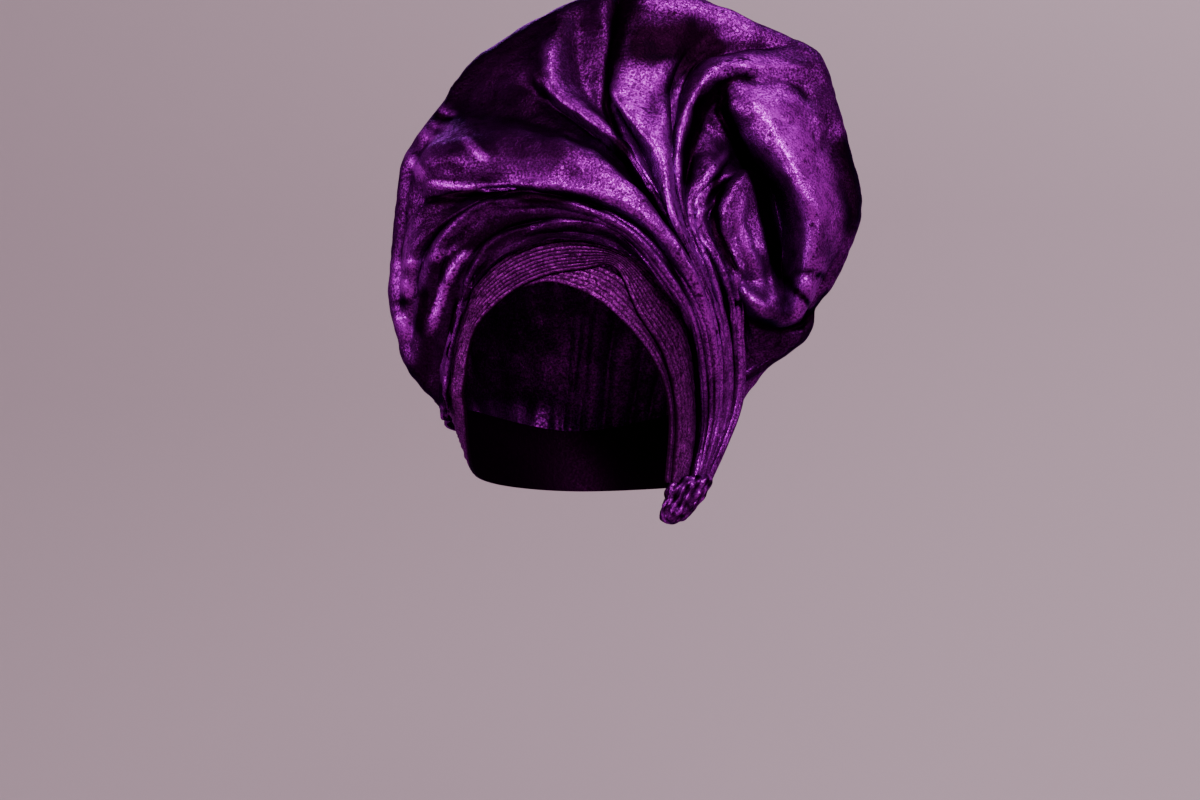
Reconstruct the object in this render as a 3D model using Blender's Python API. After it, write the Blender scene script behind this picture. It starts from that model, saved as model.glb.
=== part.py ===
"""A tied gele head tie: a pleated cloth wrapped round the head, tied at one ear and spread into a big fan.

Metres, +Z up, the face looks along -Y. The origin is the middle of the head's hollow at the temples.
Turns round the head are in degrees from the front, positive to the wearer's left, where the cloth is tied.
"""

from collections import namedtuple

import bmesh
import bpy
import numpy as np

# Driving dimensions
HEAD_WIDTH = 0.150
HEAD_DEPTH = 0.190
HEAD_RISE = 0.095
CROWN_RISE = 0.045
CLOTH_WALL = 0.002
WRAP_WALL = 0.0016
CLEARANCE = 0.0007
BAND_STAND_OFF = 0.0032
BAND_PLEAT_HEIGHT = 0.0012
BAND_PLEATS = 5
BAND_LEAN = 0.024
BAND_PLEAT_SHARPNESS = 0.7
UNDER_PLEATS = 3
FAN_WIDTH = 0.292
FAN_HEIGHT = 0.250
FAN_SWELL = 0.090
FOLD_DEPTH = 0.015
RIM_RADIUS = 0.012
RIM_START = 25
RIM_TURN = 112
STACK_WIDTH = 0.032
POCKET_DEPTH = 0.034
ROLL_HEIGHT = 0.022
DRAPE_BULGE = 0.30
DRAPE_PLEAT_HEIGHT = 0.004
DRAPE_PLEATS = 14
TUCK_LENGTH = 0.026
TUCK_WIDTH = 0.028
TUCK_DEPTH = 0.032
TUCK_PLEATS = 7
TUCK_GAP = 0.0008

# How far the lining of a cloth that lies over the band stands off the head
OVER_BAND = BAND_STAND_OFF + WRAP_WALL + BAND_PLEAT_HEIGHT + 2.0 * CLEARANCE + CLOTH_WALL

# Heights as shares of the head's rise, up to which the brow leans back
LEAN_TO = 1.2

# How much narrower the head is on its free side, one head's rise below the temples
NARROWING = 0.446

# The front drawing of the fan counts this many units across its width and up its height
DRAWN_WIDTH = 467
DRAWN_HEIGHT = 403

# Mesh rows
FAN_STEPS_A_FOLD = 2
FAN_ROWS = 27
RIM_ROWS = 3
DRAPE_ROWS = 13
BAND_COLUMNS = 44
TUCK_ROWS = 9

# Height of the ends of the pleats above the tucked end, as a share of the head's rise
TIE_HEIGHT = -0.57

# The tucked end's middle: shares of the stack's width in from the head's side and of half the head's depth
# in front of the ears. Its foot leans inwards and forwards by shares of its length, and is this much
# narrower than its top.
TUCK_INSET = 0.05
TUCK_FORWARD = 0.38
TUCK_LEAN = (-0.33, -0.08)
TUCK_NARROWER = 0.42
TUCK_PLEAT_SHARE = 0.09
TUCK_TAPER = 1.5

# How far the tucked end rounds off at its foot, and how late
TUCK_ROUND = 0.9
TUCK_ROUND_POWER = 7

# Edges of the forehead band: turn in degrees, height as a share of the head's rise above the temples
BandRow = namedtuple("BandRow", "place lower_turn lower_height upper_turn upper_height")
BAND = (
    BandRow("ear", 53, TIE_HEIGHT, 64, TIE_HEIGHT),
    BandRow("cheek", 55, -0.17, 72, -0.06),
    BandRow("eye", 46, 0.22, 66, 0.28),
    BandRow("brow", 31, 0.50, 48, 0.59),
    BandRow("crossing", 20, 0.79, 24, 0.88),
    BandRow("middle", 5, 0.78, 6, 0.98),
    BandRow("apex", -13, 0.73, -10, 0.97),
    BandRow("free brow", -31, 0.59, -29, 0.86),
    BandRow("free temple", -48, 0.37, -46, 0.67),
    BandRow("free eye", -55, 0.04, -65, 0.32),
    BandRow("free cheek", -61, -0.19, -73, -0.03),
    BandRow("free ear", -80, -0.47, -92, -0.10),
    BandRow("behind ear", -118, -0.60, -122, -0.12),
    BandRow("nape", -180, -0.68, -180, -0.26),
    BandRow("behind tie", -240, -0.64, -236, -0.14),
    BandRow("tie", -279, TIE_HEIGHT, -276, -0.08),
)

# Edges of the turn below it, which shows on the tied side only
UNDER = (
    BandRow("ear", 51, TIE_HEIGHT, 61, TIE_HEIGHT),
    BandRow("cheek", 53, -0.20, 63, -0.14),
    BandRow("eye", 48, 0.05, 60, 0.10),
    BandRow("brow", 38, 0.26, 50, 0.36),
    BandRow("temple", 23, 0.47, 33, 0.62),
    BandRow("rise", 10, 0.61, 17, 0.78),
    BandRow("apex", -8, 0.70, -6, 0.86),
    BandRow("end", -24, 0.66, -22, 0.80),
)

# One row a fold, from the band outwards. lift and valley are shares of the fold depth: how far the crest
# stands proud, and how deep the cloth sinks before the next crest. beyond is the share of that valley that
# stays past the pocket. cheek and brow are shares of the stack's width.
Fold = namedtuple("Fold", "name lift valley beyond pocket roll cheek brow")
FOLDS = (
    Fold("tuck", 0.2, 0.3, 1.0, 0.0, 0.0, 0.03, 0.04),
    Fold("inner", 0.3, 0.3, 1.0, 0.0, 0.0, 0.07, 0.08),
    Fold("brow roll", 0.8, 1.1, 1.0, 0.0, 0.0, 0.13, 0.12),
    Fold("rim bite", 0.3, 0.15, 1.0, 0.0, 0.0, 0.19, 0.20),
    Fold("rim patch", 0.1, 0.5, 1.0, 0.0, 0.0, 0.24, 0.26),
    Fold("low crest", 0.9, 0.0, 1.0, 0.0, 0.0, 0.29, 0.32),
    Fold("broad", 1.1, 0.0, 1.0, 0.0, 0.0, 0.33, 0.36),
    Fold("high crest", 0.9, 0.5, 1.0, 0.0, 0.0, 0.37, 0.40),
    Fold("dark panel", -0.5, 0.1, 1.0, 0.0, 0.0, 0.41, 0.43),
    Fold("top ridge", 0.6, 0.6, 1.0, 0.0, 0.0, 0.45, 0.46),
    Fold("top dent", 0.0, 1.2, 1.0, 0.0, 0.0, 0.49, 0.50),
    Fold("middle", 1.2, 0.0, 1.0, 0.0, 0.0, 0.54, 0.55),
    Fold("middle face", 0.7, 0.2, 1.0, 0.0, 0.0, 0.58, 0.58),
    Fold("hollow face", 0.0, 0.8, 1.0, 0.0, 0.0, 0.61, 0.61),
    Fold("hook", 0.7, 0.9, 0.6, 0.0, 0.35, 0.65, 0.64),
    Fold("thin", 0.6, 0.7, 0.1, 0.4, 0.8, 0.71, 0.70),
    Fold("second thin", 0.7, 1.0, 0.1, 0.8, 1.0, 0.80, 0.82),
    Fold("leaf", 1.0, 0.2, 0.1, 1.0, 1.0, 0.88, 0.92),
    Fold("leaf foot", 0.6, 1.0, 0.1, 0.8, 1.0, 0.94, 0.96),
    Fold("lower roll", 0.9, 0.4, 0.5, 0.1, 0.5, 0.98, 0.98),
    Fold("turned edge", -0.9, 0.0, 1.0, 0.0, 0.0, 0.99, 0.99),
    Fold("back panel", -1.4, 0.0, 1.0, 0.0, 0.0, 1.00, 1.00),
    Fold("panel foot", -1.5, 0.0, 1.0, 0.0, 0.0, 1.01, 1.01),
)

# Where the crest of each fold runs beyond the stack: x and z in drawing units, from the head's middle at
# the temples
Line = namedtuple("Line", "fold throat near half far rim")
LINES = (
    Line("tuck", (90, 104), (47, 151), (-26, 161), (-93, 120), (-124, -21)),
    Line("inner", (93, 106), (50, 155), (-38, 170), (-110, 128), (-135, -4)),
    Line("brow roll", (97, 109), (55, 156), (-38, 188), (-122, 153), (-159, 22)),
    Line("rim bite", (101, 113), (59, 160), (-46, 194), (-146, 149), (-177, 76)),
    Line("rim patch", (104, 115), (62, 163), (-51, 197), (-146, 180), (-179, 126)),
    Line("low crest", (108, 119), (67, 168), (-21, 198), (-112, 202), (-173, 179)),
    Line("broad", (111, 123), (70, 174), (-11, 214), (-126, 229), (-167, 229)),
    Line("high crest", (113, 126), (73, 181), (2, 236), (-101, 254), (-153, 268)),
    Line("dark panel", (115, 128), (79, 186), (37, 239), (-41, 296), (-99, 333)),
    Line("top ridge", (117, 129), (84, 184), (48, 242), (-21, 309), (-24, 382)),
    Line("top dent", (118, 130), (88, 186), (54, 244), (36, 314), (30, 402)),
    Line("middle", (120, 125), (98, 167), (84, 234), (44, 305), (66, 403)),
    Line("middle face", (123, 124), (102, 178), (93, 244), (89, 319), (129, 398)),
    Line("hollow face", (125, 123), (105, 179), (100, 249), (119, 334), (189, 374)),
    Line("hook", (128, 121), (108, 179), (106, 249), (141, 321), (247, 341)),
    Line("thin", (136, 118), (115, 171), (137, 222), (189, 282), (267, 284)),
    Line("second thin", (149, 118), (124, 172), (151, 214), (211, 244), (280, 232)),
    Line("leaf", (160, 115), (145, 156), (175, 212), (234, 196), (288, 178)),
    Line("leaf foot", (164, 108), (167, 132), (193, 154), (242, 154), (286, 146)),
    Line("lower roll", (167, 98), (178, 88), (199, 80), (229, 82), (272, 112)),
    Line("turned edge", (171, 90), (180, 76), (200, 68), (224, 72), (254, 88)),
    Line("back panel", (173, 82), (180, 62), (196, 48), (216, 44), (236, 58)),
    Line("panel foot", (174, 74), (174, 56), (172, 40), (171, 24), (170, 8)),
)

# One row a station along the cloth, from the ear to the rim. hem counts the band's rows to where the fan's
# hem crosses it. inner, middle and outer say how far in front of the origin the cloth lies there, as
# shares of the fan's swell. fold scales the folds.
Station = namedtuple("Station", "place way hem inner middle outer fold")
STATIONS = (
    Station("ear", 0.00, 0.0, 0.56, 0.40, 0.22, 0.15),
    Station("cheek", 0.13, 0.8, 0.48, 0.28, -0.06, 0.28),
    Station("brow", 0.26, 2.4, 0.74, 0.52, 0.10, 0.40),
    Station("throat", 0.37, 3.6, 0.92, 0.84, 0.36, 0.60),
    Station("near", 0.48, 4.2, 0.97, 0.88, 0.34, 0.85),
    Station("half", 0.64, 6.0, 0.97, 0.68, 0.26, 1.00),
    Station("far", 0.82, 8.0, 0.80, 0.36, 0.20, 0.90),
    Station("rim", 1.00, 10.3, 0.40, 0.12, 0.06, 0.30),
)

# Outer edge of the stack of pleats: share of the stack's width beyond the head's side, and height
StackRow = namedtuple("StackRow", "place reach height")
STACK = (
    StackRow("ear", 0.42, TIE_HEIGHT),
    StackRow("cheek", 1.00, -0.05),
    StackRow("brow", 1.00, 0.44),
)

# Ways along the cloth, from 0 at the ear to 1 at the rim
POCKET_WAY = 0.71
POCKET_REACH = 0.075
ROLL_FROM = 0.82
ROLL_FALL = 0.5
BEYOND_FROM = 0.60
BEYOND_TO = 0.74
STACK_TURNS_FROM = 0.25
STACK_TURNS_TO = 0.50
RIM_EASE_FROM = 0.60

# How much the valleys of the stack lean in towards the head, and the depth of the first valley by the hem
STACK_SLANT = 1.1
HEM_VALLEY = 0.1

# The rim's roll is this share of its radius at its two ends, and grows to the full one over so many folds
RIM_END_SHARE = 0.3
RIM_END_FOLDS = 3.0

# The fan's hem lies this far across the band, where 1 is the band's upper edge
HEM_SHARE = 0.97

# Where the drape ends, round the nape: turn and height at its two ends and behind the head
DRAPE_FREE_TURN = -86
DRAPE_TIED_TURN = -274
DRAPE_FREE_HEIGHT = -0.17
DRAPE_TIED_HEIGHT = -0.56
DRAPE_NAPE_HEIGHT = -0.50

# How high above and beyond its end the drape comes down, as shares of its reach, and how its pleats grow
DRAPE_ABOVE = 0.42
DRAPE_BEYOND = 0.06
DRAPE_PLEAT_GROWTH = 1.3

# Rows of the cloth at the free ear and by the stack that stop at the rim
ROWS_WITHOUT_DRAPE = (3, 1)

# Colour, roughness and share of metal of the two looks of the cloth
Finish = namedtuple("Finish", "colour roughness metallic")
FABRIC = Finish((0.105, 0.012, 0.135, 1.0), 0.42, 0.55)
MATTE_FABRIC = Finish((0.070, 0.012, 0.090, 1.0), 0.60, 0.30)


def catmull(points, knots, t):
    """A smooth curve through points at the knots, read at each t."""
    points = np.asarray(points, float)
    knots = np.asarray(knots, float)
    slopes = np.gradient(points, knots, axis=0, edge_order=1)
    k = np.clip(np.searchsorted(knots, t, side="right") - 1, 0, len(knots) - 2)
    span = knots[k + 1] - knots[k]
    shape = (-1,) + (1,) * (points.ndim - 1)
    s = ((t - knots[k]) / span).reshape(shape)
    span = span.reshape(shape)
    start = (2 * s**3 - 3 * s**2 + 1) * points[k] + (s**3 - 2 * s**2 + s) * span * slopes[k]
    end = (3 * s**2 - 2 * s**3) * points[k + 1] + (s**3 - s**2) * span * slopes[k + 1]
    return start + end


def unit(vectors):
    """The vectors at length one."""
    return vectors / np.maximum(np.linalg.norm(vectors, axis=-1, keepdims=True), 1e-12)


def normals_of(grid):
    """The normal at each point of a grid of points, which on the cloth points outwards."""
    along = np.gradient(grid, axis=0)
    across = np.gradient(grid, axis=1)
    return unit(np.cross(along, across))


def round_head(turn, height, stand_off):
    """Points round the head at these turns, heights and distances from it."""
    angle = np.radians(turn)
    below = np.maximum(-height, 0.0) / HEAD_RISE
    narrow = 1.0 - NARROWING * below * (1.0 - np.sin(angle)) / 2.0
    lean = BAND_LEAN * np.clip(height / HEAD_RISE, 0.0, LEAN_TO) ** 2 * np.clip(np.cos(angle), 0.0, 1.0)
    x = (HEAD_WIDTH / 2.0 * narrow + stand_off) * np.sin(angle)
    y = -(HEAD_DEPTH / 2.0 * narrow + stand_off) * np.cos(angle) + lean
    return np.stack([x, y, height + 0.0 * x], axis=-1)


def clear_of_head(points, stand_off):
    """Points that lie nearer to the head than the stand-off, moved out to it."""
    x, y, z = points[..., 0], points[..., 1], points[..., 2]
    sine = np.clip(x / (HEAD_WIDTH / 2.0 + stand_off), -1.0, 1.0)
    narrow = 1.0 - NARROWING * np.maximum(-z, 0.0) / HEAD_RISE * (1.0 - sine) / 2.0
    deep = HEAD_DEPTH / 2.0 * narrow + stand_off
    cosine = np.clip(-y / deep, 0.0, 1.0)
    lean = BAND_LEAN * np.clip(z / HEAD_RISE, 0.0, LEAN_TO) ** 2 * cosine
    ratio = np.hypot(x / (HEAD_WIDTH / 2.0 * narrow + stand_off), (y - lean) / deep)
    crown = np.sqrt(np.clip(1.0 - (np.maximum(z - HEAD_RISE, 0.0) / CROWN_RISE) ** 2, 0.0, 1.0))
    grow = np.where(ratio < crown, crown / np.maximum(ratio, 1e-3), 1.0)
    return np.stack([x * grow, lean + (y - lean) * grow, z], axis=-1)


def edge_points(rows, share, way, stand_off):
    """Points on a wrap: share 0 is its lower edge and 1 its upper, way runs along it from 0 to 1."""
    knots = np.linspace(0.0, 1.0, len(rows))
    table = np.array([row[1:] for row in rows], float)
    here = catmull(table, knots, way)
    turn = here[:, 0] + share * (here[:, 2] - here[:, 0])
    height = (here[:, 1] + share * (here[:, 3] - here[:, 1])) * HEAD_RISE
    return round_head(turn, height, stand_off)


def wrap_grid(rows, ways, shares, stand_off, pleat_height, pleats):
    """The outer face of a wrap, with fine pleats along it."""
    columns = []
    for share in shares:
        pleat = pleat_height * abs(np.sin(np.pi * pleats * share)) ** BAND_PLEAT_SHARPNESS
        columns.append(edge_points(rows, share, ways, stand_off + pleat))
    return np.stack(columns, axis=1)


def fan_guides():
    """The crest of each fold as points at the stations, hem first."""
    ways = np.array([s.way for s in STATIONS])
    hem_ways = np.array([s.hem for s in STATIONS]) / (len(BAND) - 1)
    guides = [edge_points(BAND, HEM_SHARE, hem_ways, OVER_BAND)]
    stack = {row.place: row for row in STACK}
    for index, (fold, line) in enumerate(zip(FOLDS, LINES)):
        across = (index + 1) / len(FOLDS)
        points = []
        for number, station in enumerate(STATIONS):
            depth = np.interp(across, (0.0, 0.5, 1.0), (station.inner, station.middle, station.outer))
            y = -depth * FAN_SWELL - fold.lift * FOLD_DEPTH * station.fold
            if station.place in stack:
                row = stack[station.place]
                share = getattr(fold, station.place, across)
                start = guides[0][number]
                x = start[0] + share * (HEAD_WIDTH / 2.0 + row.reach * STACK_WIDTH - start[0])
                z = start[2] + share * (row.height * HEAD_RISE - start[2])
            else:
                drawn = getattr(line, station.place)
                x = drawn[0] / DRAWN_WIDTH * FAN_WIDTH
                z = drawn[1] / DRAWN_HEIGHT * FAN_HEIGHT
            points.append((x, y, z))
        guides.append(np.array(points))
    return np.array(guides), ways


def eased(t, start, end):
    """0 before the start, 1 after the end, even between them."""
    return np.clip((t - start) / (end - start), 0.0, 1.0)


def bump(t, middle, reach):
    """1 at the middle, falling smoothly to 0 at the reach."""
    s = np.clip(np.abs(t - middle) / reach, 0.0, 1.0)
    return 1.0 - s**2 * (3.0 - 2.0 * s)


def fan_surface(across, ways):
    """The lining of the fan: across counts folds from the hem, ways run from the ear to the rim."""
    guides, knots = fan_guides()
    lines = np.stack([catmull(guide, knots, ways) for guide in guides])
    places = np.arange(len(lines), dtype=float)
    smooth = catmull(lines, places, across)
    in_stack = 1.0 - eased(ways, STACK_TURNS_FROM, STACK_TURNS_TO)
    side = (across / places[-1])[:, None] * in_stack[None, :]
    inward = unit(np.stack([-STACK_SLANT * side, 1.0 + 0.0 * side, 0.0 * side], axis=-1))
    table = np.array([(HEM_VALLEY, 1.0, 0.0, 0.0)] + [(f.valley, f.beyond, f.pocket, f.roll) for f in FOLDS])
    scale = catmull(np.array([s.fold for s in STATIONS])[:, None], knots, ways)[:, 0]
    index = np.clip(np.floor(across).astype(int), 0, len(table) - 2)
    part = across - index
    kept = 1.0 - (1.0 - table[index, 1])[:, None] * eased(ways, BEYOND_FROM, BEYOND_TO)[None, :]
    wanted = FOLD_DEPTH * table[index, 0][:, None] * kept * scale[None, :]
    gap = np.linalg.norm(lines[index + 1] - lines[index], axis=-1)
    room = wanted * gap / np.sqrt(wanted**2 + gap**2 + 1e-12)
    depth = room * (1.0 - np.abs(np.cos(np.pi * part)))[:, None]
    pocket = np.interp(across, places, table[:, 2])
    roll = np.interp(across, places, table[:, 3])
    depth = depth + POCKET_DEPTH * pocket[:, None] * bump(ways, POCKET_WAY, POCKET_REACH)[None, :]
    swell = bump(ways, ROLL_FROM, ROLL_FROM - POCKET_WAY) * (ways < ROLL_FROM)
    swell = swell + (1.0 - ROLL_FALL * bump(ways, 1.0, 1.0 - ROLL_FROM)) * (ways >= ROLL_FROM)
    depth = depth - ROLL_HEIGHT * roll[:, None] * swell[None, :]
    return clear_of_head(smooth + inward * depth[..., None], OVER_BAND)


def rim_roll(front, angles, across):
    """Rows that carry the cloth over its rim: front is the grid up to the rim's silhouette."""
    edge = front[:, -1]
    along = unit(np.gradient(edge, axis=0))
    outward = unit(np.cross(along, np.array([0.0, -1.0, 0.0])))
    outward = outward * np.sign(np.sum(outward * (edge - edge.mean(axis=0)), axis=-1, keepdims=True))
    back = np.array([0.0, 1.0, 0.0])
    from_ends = np.minimum(across, across[-1] - across)
    grown = eased(from_ends, 0.0, RIM_END_FOLDS)
    radius = RIM_RADIUS * (RIM_END_SHARE + (1.0 - RIM_END_SHARE) * grown)[:, None]
    rows = []
    for angle in angles:
        out = np.sin(angle) - 1.0
        rows.append(edge + radius * (out * outward + (np.cos(angles[0]) - np.cos(angle)) * back))
    return np.stack(rows, axis=1)


def cloth_front(across, ways, angles):
    """The fan's lining, from the ear to the last row of the rim roll."""
    front = fan_surface(across, ways)
    rolled = rim_roll(front, angles, across)
    inset = rolled[:, 0] - front[:, -1]
    ease = eased(ways, RIM_EASE_FROM, 1.0)[None, :, None] ** 2
    front = clear_of_head(front + inset[:, None, :] * ease, OVER_BAND)
    return np.concatenate([front, clear_of_head(rolled[:, 1:], OVER_BAND)], axis=1)


def drape_surface(front, rows):
    """The lining of the drape, from the front's last row down to the nape, without that row."""
    start = front[:, -1]
    heading = unit(front[:, -1] - front[:, -2])
    length = np.concatenate([[0.0], np.cumsum(np.linalg.norm(np.diff(start, axis=0), axis=1))])
    share = length / length[-1]
    turn = DRAPE_FREE_TURN + share * (DRAPE_TIED_TURN - DRAPE_FREE_TURN)
    level = np.interp(share, (0.0, 0.5, 1.0), (DRAPE_FREE_HEIGHT, DRAPE_NAPE_HEIGHT, DRAPE_TIED_HEIGHT))
    end = round_head(turn, level * HEAD_RISE, OVER_BAND)
    reach = np.linalg.norm(end - start, axis=1, keepdims=True)
    out = unit(end * np.array([1.0, 1.0, 0.0]))
    first = start + heading * DRAPE_BULGE * reach
    second = end + (np.array([0.0, 0.0, DRAPE_ABOVE]) + DRAPE_BEYOND * out) * reach
    t = rows[None, 1:, None]
    first = first[:, None, :]
    second = second[:, None, :]
    grid = (1 - t) ** 3 * start[:, None] + 3 * t * (1 - t) ** 2 * first
    grid = grid + 3 * t**2 * (1 - t) * second + t**3 * end[:, None]
    pleat = DRAPE_PLEAT_HEIGHT * (0.5 - 0.5 * np.cos(2 * np.pi * DRAPE_PLEATS * share))[:, None]
    pleat = pleat * (rows[1:] ** DRAPE_PLEAT_GROWTH)[None, :]
    normal = normals_of(grid)
    side = np.sign(np.sum(normal * (grid - grid.mean(axis=(0, 1))), axis=-1, keepdims=True))
    return clear_of_head(grid + normal * side * pleat[..., None], OVER_BAND)


def finish_piece(name, shape, look):
    """A named object from a bmesh, with its own material, its faces turned outwards."""
    if shape.calc_volume(signed=True) < 0:
        bmesh.ops.reverse_faces(shape, faces=shape.faces)
    mesh = bpy.data.meshes.new(name)
    shape.to_mesh(mesh)
    shape.free()
    mesh.shade_smooth()
    finish = bpy.data.materials.new(name)
    finish.use_nodes = True
    skin = finish.node_tree.nodes["Principled BSDF"]
    skin.inputs["Base Color"].default_value = look.colour
    skin.inputs["Roughness"].default_value = look.roughness
    skin.inputs["Metallic"].default_value = look.metallic
    finish.diffuse_color = look.colour
    mesh.materials.append(finish)
    piece = bpy.data.objects.new(name, mesh)
    bpy.context.collection.objects.link(piece)


def solid_from(name, one, other, look):
    """A closed wall between two matching grids of points."""
    rows, columns = one.shape[:2]
    shape = bmesh.new()
    front = [[shape.verts.new(point) for point in row] for row in one]
    back = [[shape.verts.new(point) for point in row] for row in other]
    for r in range(rows - 1):
        for c in range(columns - 1):
            shape.faces.new((front[r][c], front[r + 1][c], front[r + 1][c + 1], front[r][c + 1]))
            shape.faces.new((back[r][c], back[r][c + 1], back[r + 1][c + 1], back[r + 1][c]))
    for r in range(rows - 1):
        shape.faces.new((front[r][0], back[r][0], back[r + 1][0], front[r + 1][0]))
        shape.faces.new((front[r][-1], front[r + 1][-1], back[r + 1][-1], back[r][-1]))
    for c in range(columns - 1):
        shape.faces.new((front[0][c], front[0][c + 1], back[0][c + 1], back[0][c]))
        shape.faces.new((front[-1][c], back[-1][c], back[-1][c + 1], front[-1][c + 1]))
    bmesh.ops.triangulate(shape, faces=shape.faces)
    finish_piece(name, shape, look)


def make_cloth():
    """The fan and the drape, one cloth parted just behind the rim."""
    folds = len(FOLDS)
    across = np.linspace(0.0, folds, folds * FAN_STEPS_A_FOLD + 1)
    ways = np.linspace(0.0, 1.0, FAN_ROWS)
    angles = np.radians(np.linspace(RIM_START, RIM_TURN, RIM_ROWS))
    front = cloth_front(across, ways, angles)
    lining = np.concatenate([front, drape_surface(front, np.linspace(0.0, 1.0, DRAPE_ROWS))], axis=1)
    face = lining + CLOTH_WALL * normals_of(lining)
    last = front.shape[1] - 1
    solid_from("pleated_fan", lining[:, : last + 1], face[:, : last + 1], FABRIC)
    parting = unit(lining[:, last + 1] - lining[:, last]) * CLEARANCE
    lining[:, last] += parting
    face[:, last] += parting
    first, dropped = ROWS_WITHOUT_DRAPE
    solid_from("back_drape", lining[first:-dropped, last:], face[first:-dropped, last:], FABRIC)


def make_band():
    ways = np.linspace(0.0, 1.0, BAND_COLUMNS)
    shares = np.linspace(0.0, 1.0, 2 * BAND_PLEATS + 1)
    outer = wrap_grid(BAND, ways, shares, BAND_STAND_OFF + WRAP_WALL, BAND_PLEAT_HEIGHT, BAND_PLEATS)
    inner = wrap_grid(BAND, ways, shares, BAND_STAND_OFF, 0.0, BAND_PLEATS)
    solid_from("forehead_band", outer, inner, MATTE_FABRIC)


def make_under():
    ways = np.linspace(0.0, 1.0, BAND_COLUMNS // 2)
    shares = np.linspace(0.0, 1.0, 2 * UNDER_PLEATS + 1)
    stand_off = BAND_STAND_OFF - CLEARANCE - WRAP_WALL
    outer = wrap_grid(UNDER, ways, shares, stand_off + WRAP_WALL, 0.0, UNDER_PLEATS)
    inner = wrap_grid(UNDER, ways, shares, stand_off, 0.0, UNDER_PLEATS)
    solid_from("under_wrap", outer, inner, MATTE_FABRIC)


def make_tuck():
    """The gathered end, a puff that hangs just under the ends of the pleats."""
    turns = np.linspace(0.0, 2.0 * np.pi, 4 * TUCK_PLEATS, endpoint=False)
    levels = np.linspace(0.0, 1.0, TUCK_ROWS)
    side = HEAD_WIDTH / 2.0 - TUCK_INSET * STACK_WIDTH
    top = np.array([side, -TUCK_FORWARD * HEAD_DEPTH / 2.0, TIE_HEIGHT * HEAD_RISE - TUCK_GAP])
    foot = np.array([*TUCK_LEAN, -1.0]) * TUCK_LENGTH
    taper = (1.0 - TUCK_NARROWER * levels**TUCK_TAPER) * np.sqrt(1.0 - TUCK_ROUND * levels**TUCK_ROUND_POWER)
    gather = (np.cos(TUCK_PLEATS * turns)[:, None] - 1.0) * np.sin(np.pi * levels)[None, :]
    girth = (1.0 + TUCK_PLEAT_SHARE * gather) * taper[None, :]
    x = TUCK_WIDTH / 2.0 * girth * np.cos(turns)[:, None]
    y = TUCK_DEPTH / 2.0 * girth * np.sin(turns)[:, None]
    ring = np.stack([x, y, 0.0 * x], axis=-1) + top + levels[None, :, None] * foot
    shape = bmesh.new()
    rows = [[shape.verts.new(point) for point in ring[:, level]] for level in range(TUCK_ROWS)]
    for above, below in zip(rows, rows[1:]):
        for here in range(len(turns)):
            there = (here + 1) % len(turns)
            shape.faces.new((above[here], above[there], below[there], below[here]))
    shape.faces.new(rows[0][::-1])
    shape.faces.new(rows[-1])
    bmesh.ops.triangulate(shape, faces=shape.faces)
    bmesh.ops.recalc_face_normals(shape, faces=shape.faces)
    finish_piece("tucked_end", shape, FABRIC)


def main():
    for old in list(bpy.data.objects):
        bpy.data.objects.remove(old, do_unlink=True)
    make_cloth()
    make_band()
    make_under()
    make_tuck()


main()
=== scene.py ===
"""The looks of the tied gele head tie: crushed metallic velvet in a fan of folds over a pleated band.

Metres, +Z up, the face looks along -Y. The origin is the middle of the head's hollow at the temples.
Turns round the head are in degrees from the front, positive to the wearer's left, where it is tied.
Ways run along the fan's cloth from 0 at the ear to 1 at the rim. A fade is where it starts and its length.
"""

import math
from collections import namedtuple

import bpy
import numpy as np
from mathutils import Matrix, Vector


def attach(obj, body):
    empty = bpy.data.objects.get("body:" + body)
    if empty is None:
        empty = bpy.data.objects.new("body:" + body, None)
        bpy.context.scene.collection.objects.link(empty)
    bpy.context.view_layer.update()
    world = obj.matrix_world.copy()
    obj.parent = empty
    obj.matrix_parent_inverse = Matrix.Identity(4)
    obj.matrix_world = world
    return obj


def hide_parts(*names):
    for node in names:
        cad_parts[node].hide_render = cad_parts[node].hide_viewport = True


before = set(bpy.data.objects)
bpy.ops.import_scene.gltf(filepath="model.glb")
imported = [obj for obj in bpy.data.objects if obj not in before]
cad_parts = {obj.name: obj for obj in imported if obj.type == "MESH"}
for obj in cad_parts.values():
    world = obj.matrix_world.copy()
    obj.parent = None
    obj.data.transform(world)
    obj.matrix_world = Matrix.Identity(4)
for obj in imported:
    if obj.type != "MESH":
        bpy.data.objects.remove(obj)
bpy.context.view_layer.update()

# Driving dimensions, those of the construction
HEAD_WIDTH = 0.150
HEAD_DEPTH = 0.190
HEAD_RISE = 0.095
CROWN_RISE = 0.045
CLEARANCE = 0.0007
BAND_STAND_OFF = 0.0032
BAND_LEAN = 0.024
FAN_WIDTH = 0.292
FAN_HEIGHT = 0.250
FAN_SWELL = 0.090
FOLD_DEPTH = 0.015
RIM_RADIUS = 0.012
RIM_START = 25
RIM_TURN = 112
STACK_WIDTH = 0.032
POCKET_DEPTH = 0.034
ROLL_HEIGHT = 0.022
DRAPE_BULGE = 0.30
DRAPE_PLEATS = 14
TUCK_LENGTH = 0.026
TUCK_WIDTH = 0.028
TUCK_DEPTH = 0.032
TUCK_PLEATS = 7

# Walls and pleats of the solids, which set how far the fan's face stands off the head
SOLID_CLOTH_WALL = 0.002
SOLID_WRAP_WALL = 0.0016
SOLID_PLEAT_HEIGHT = 0.0012
OVER_BAND = BAND_STAND_OFF + SOLID_WRAP_WALL + SOLID_PLEAT_HEIGHT + 2.0 * CLEARANCE + SOLID_CLOTH_WALL

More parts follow.
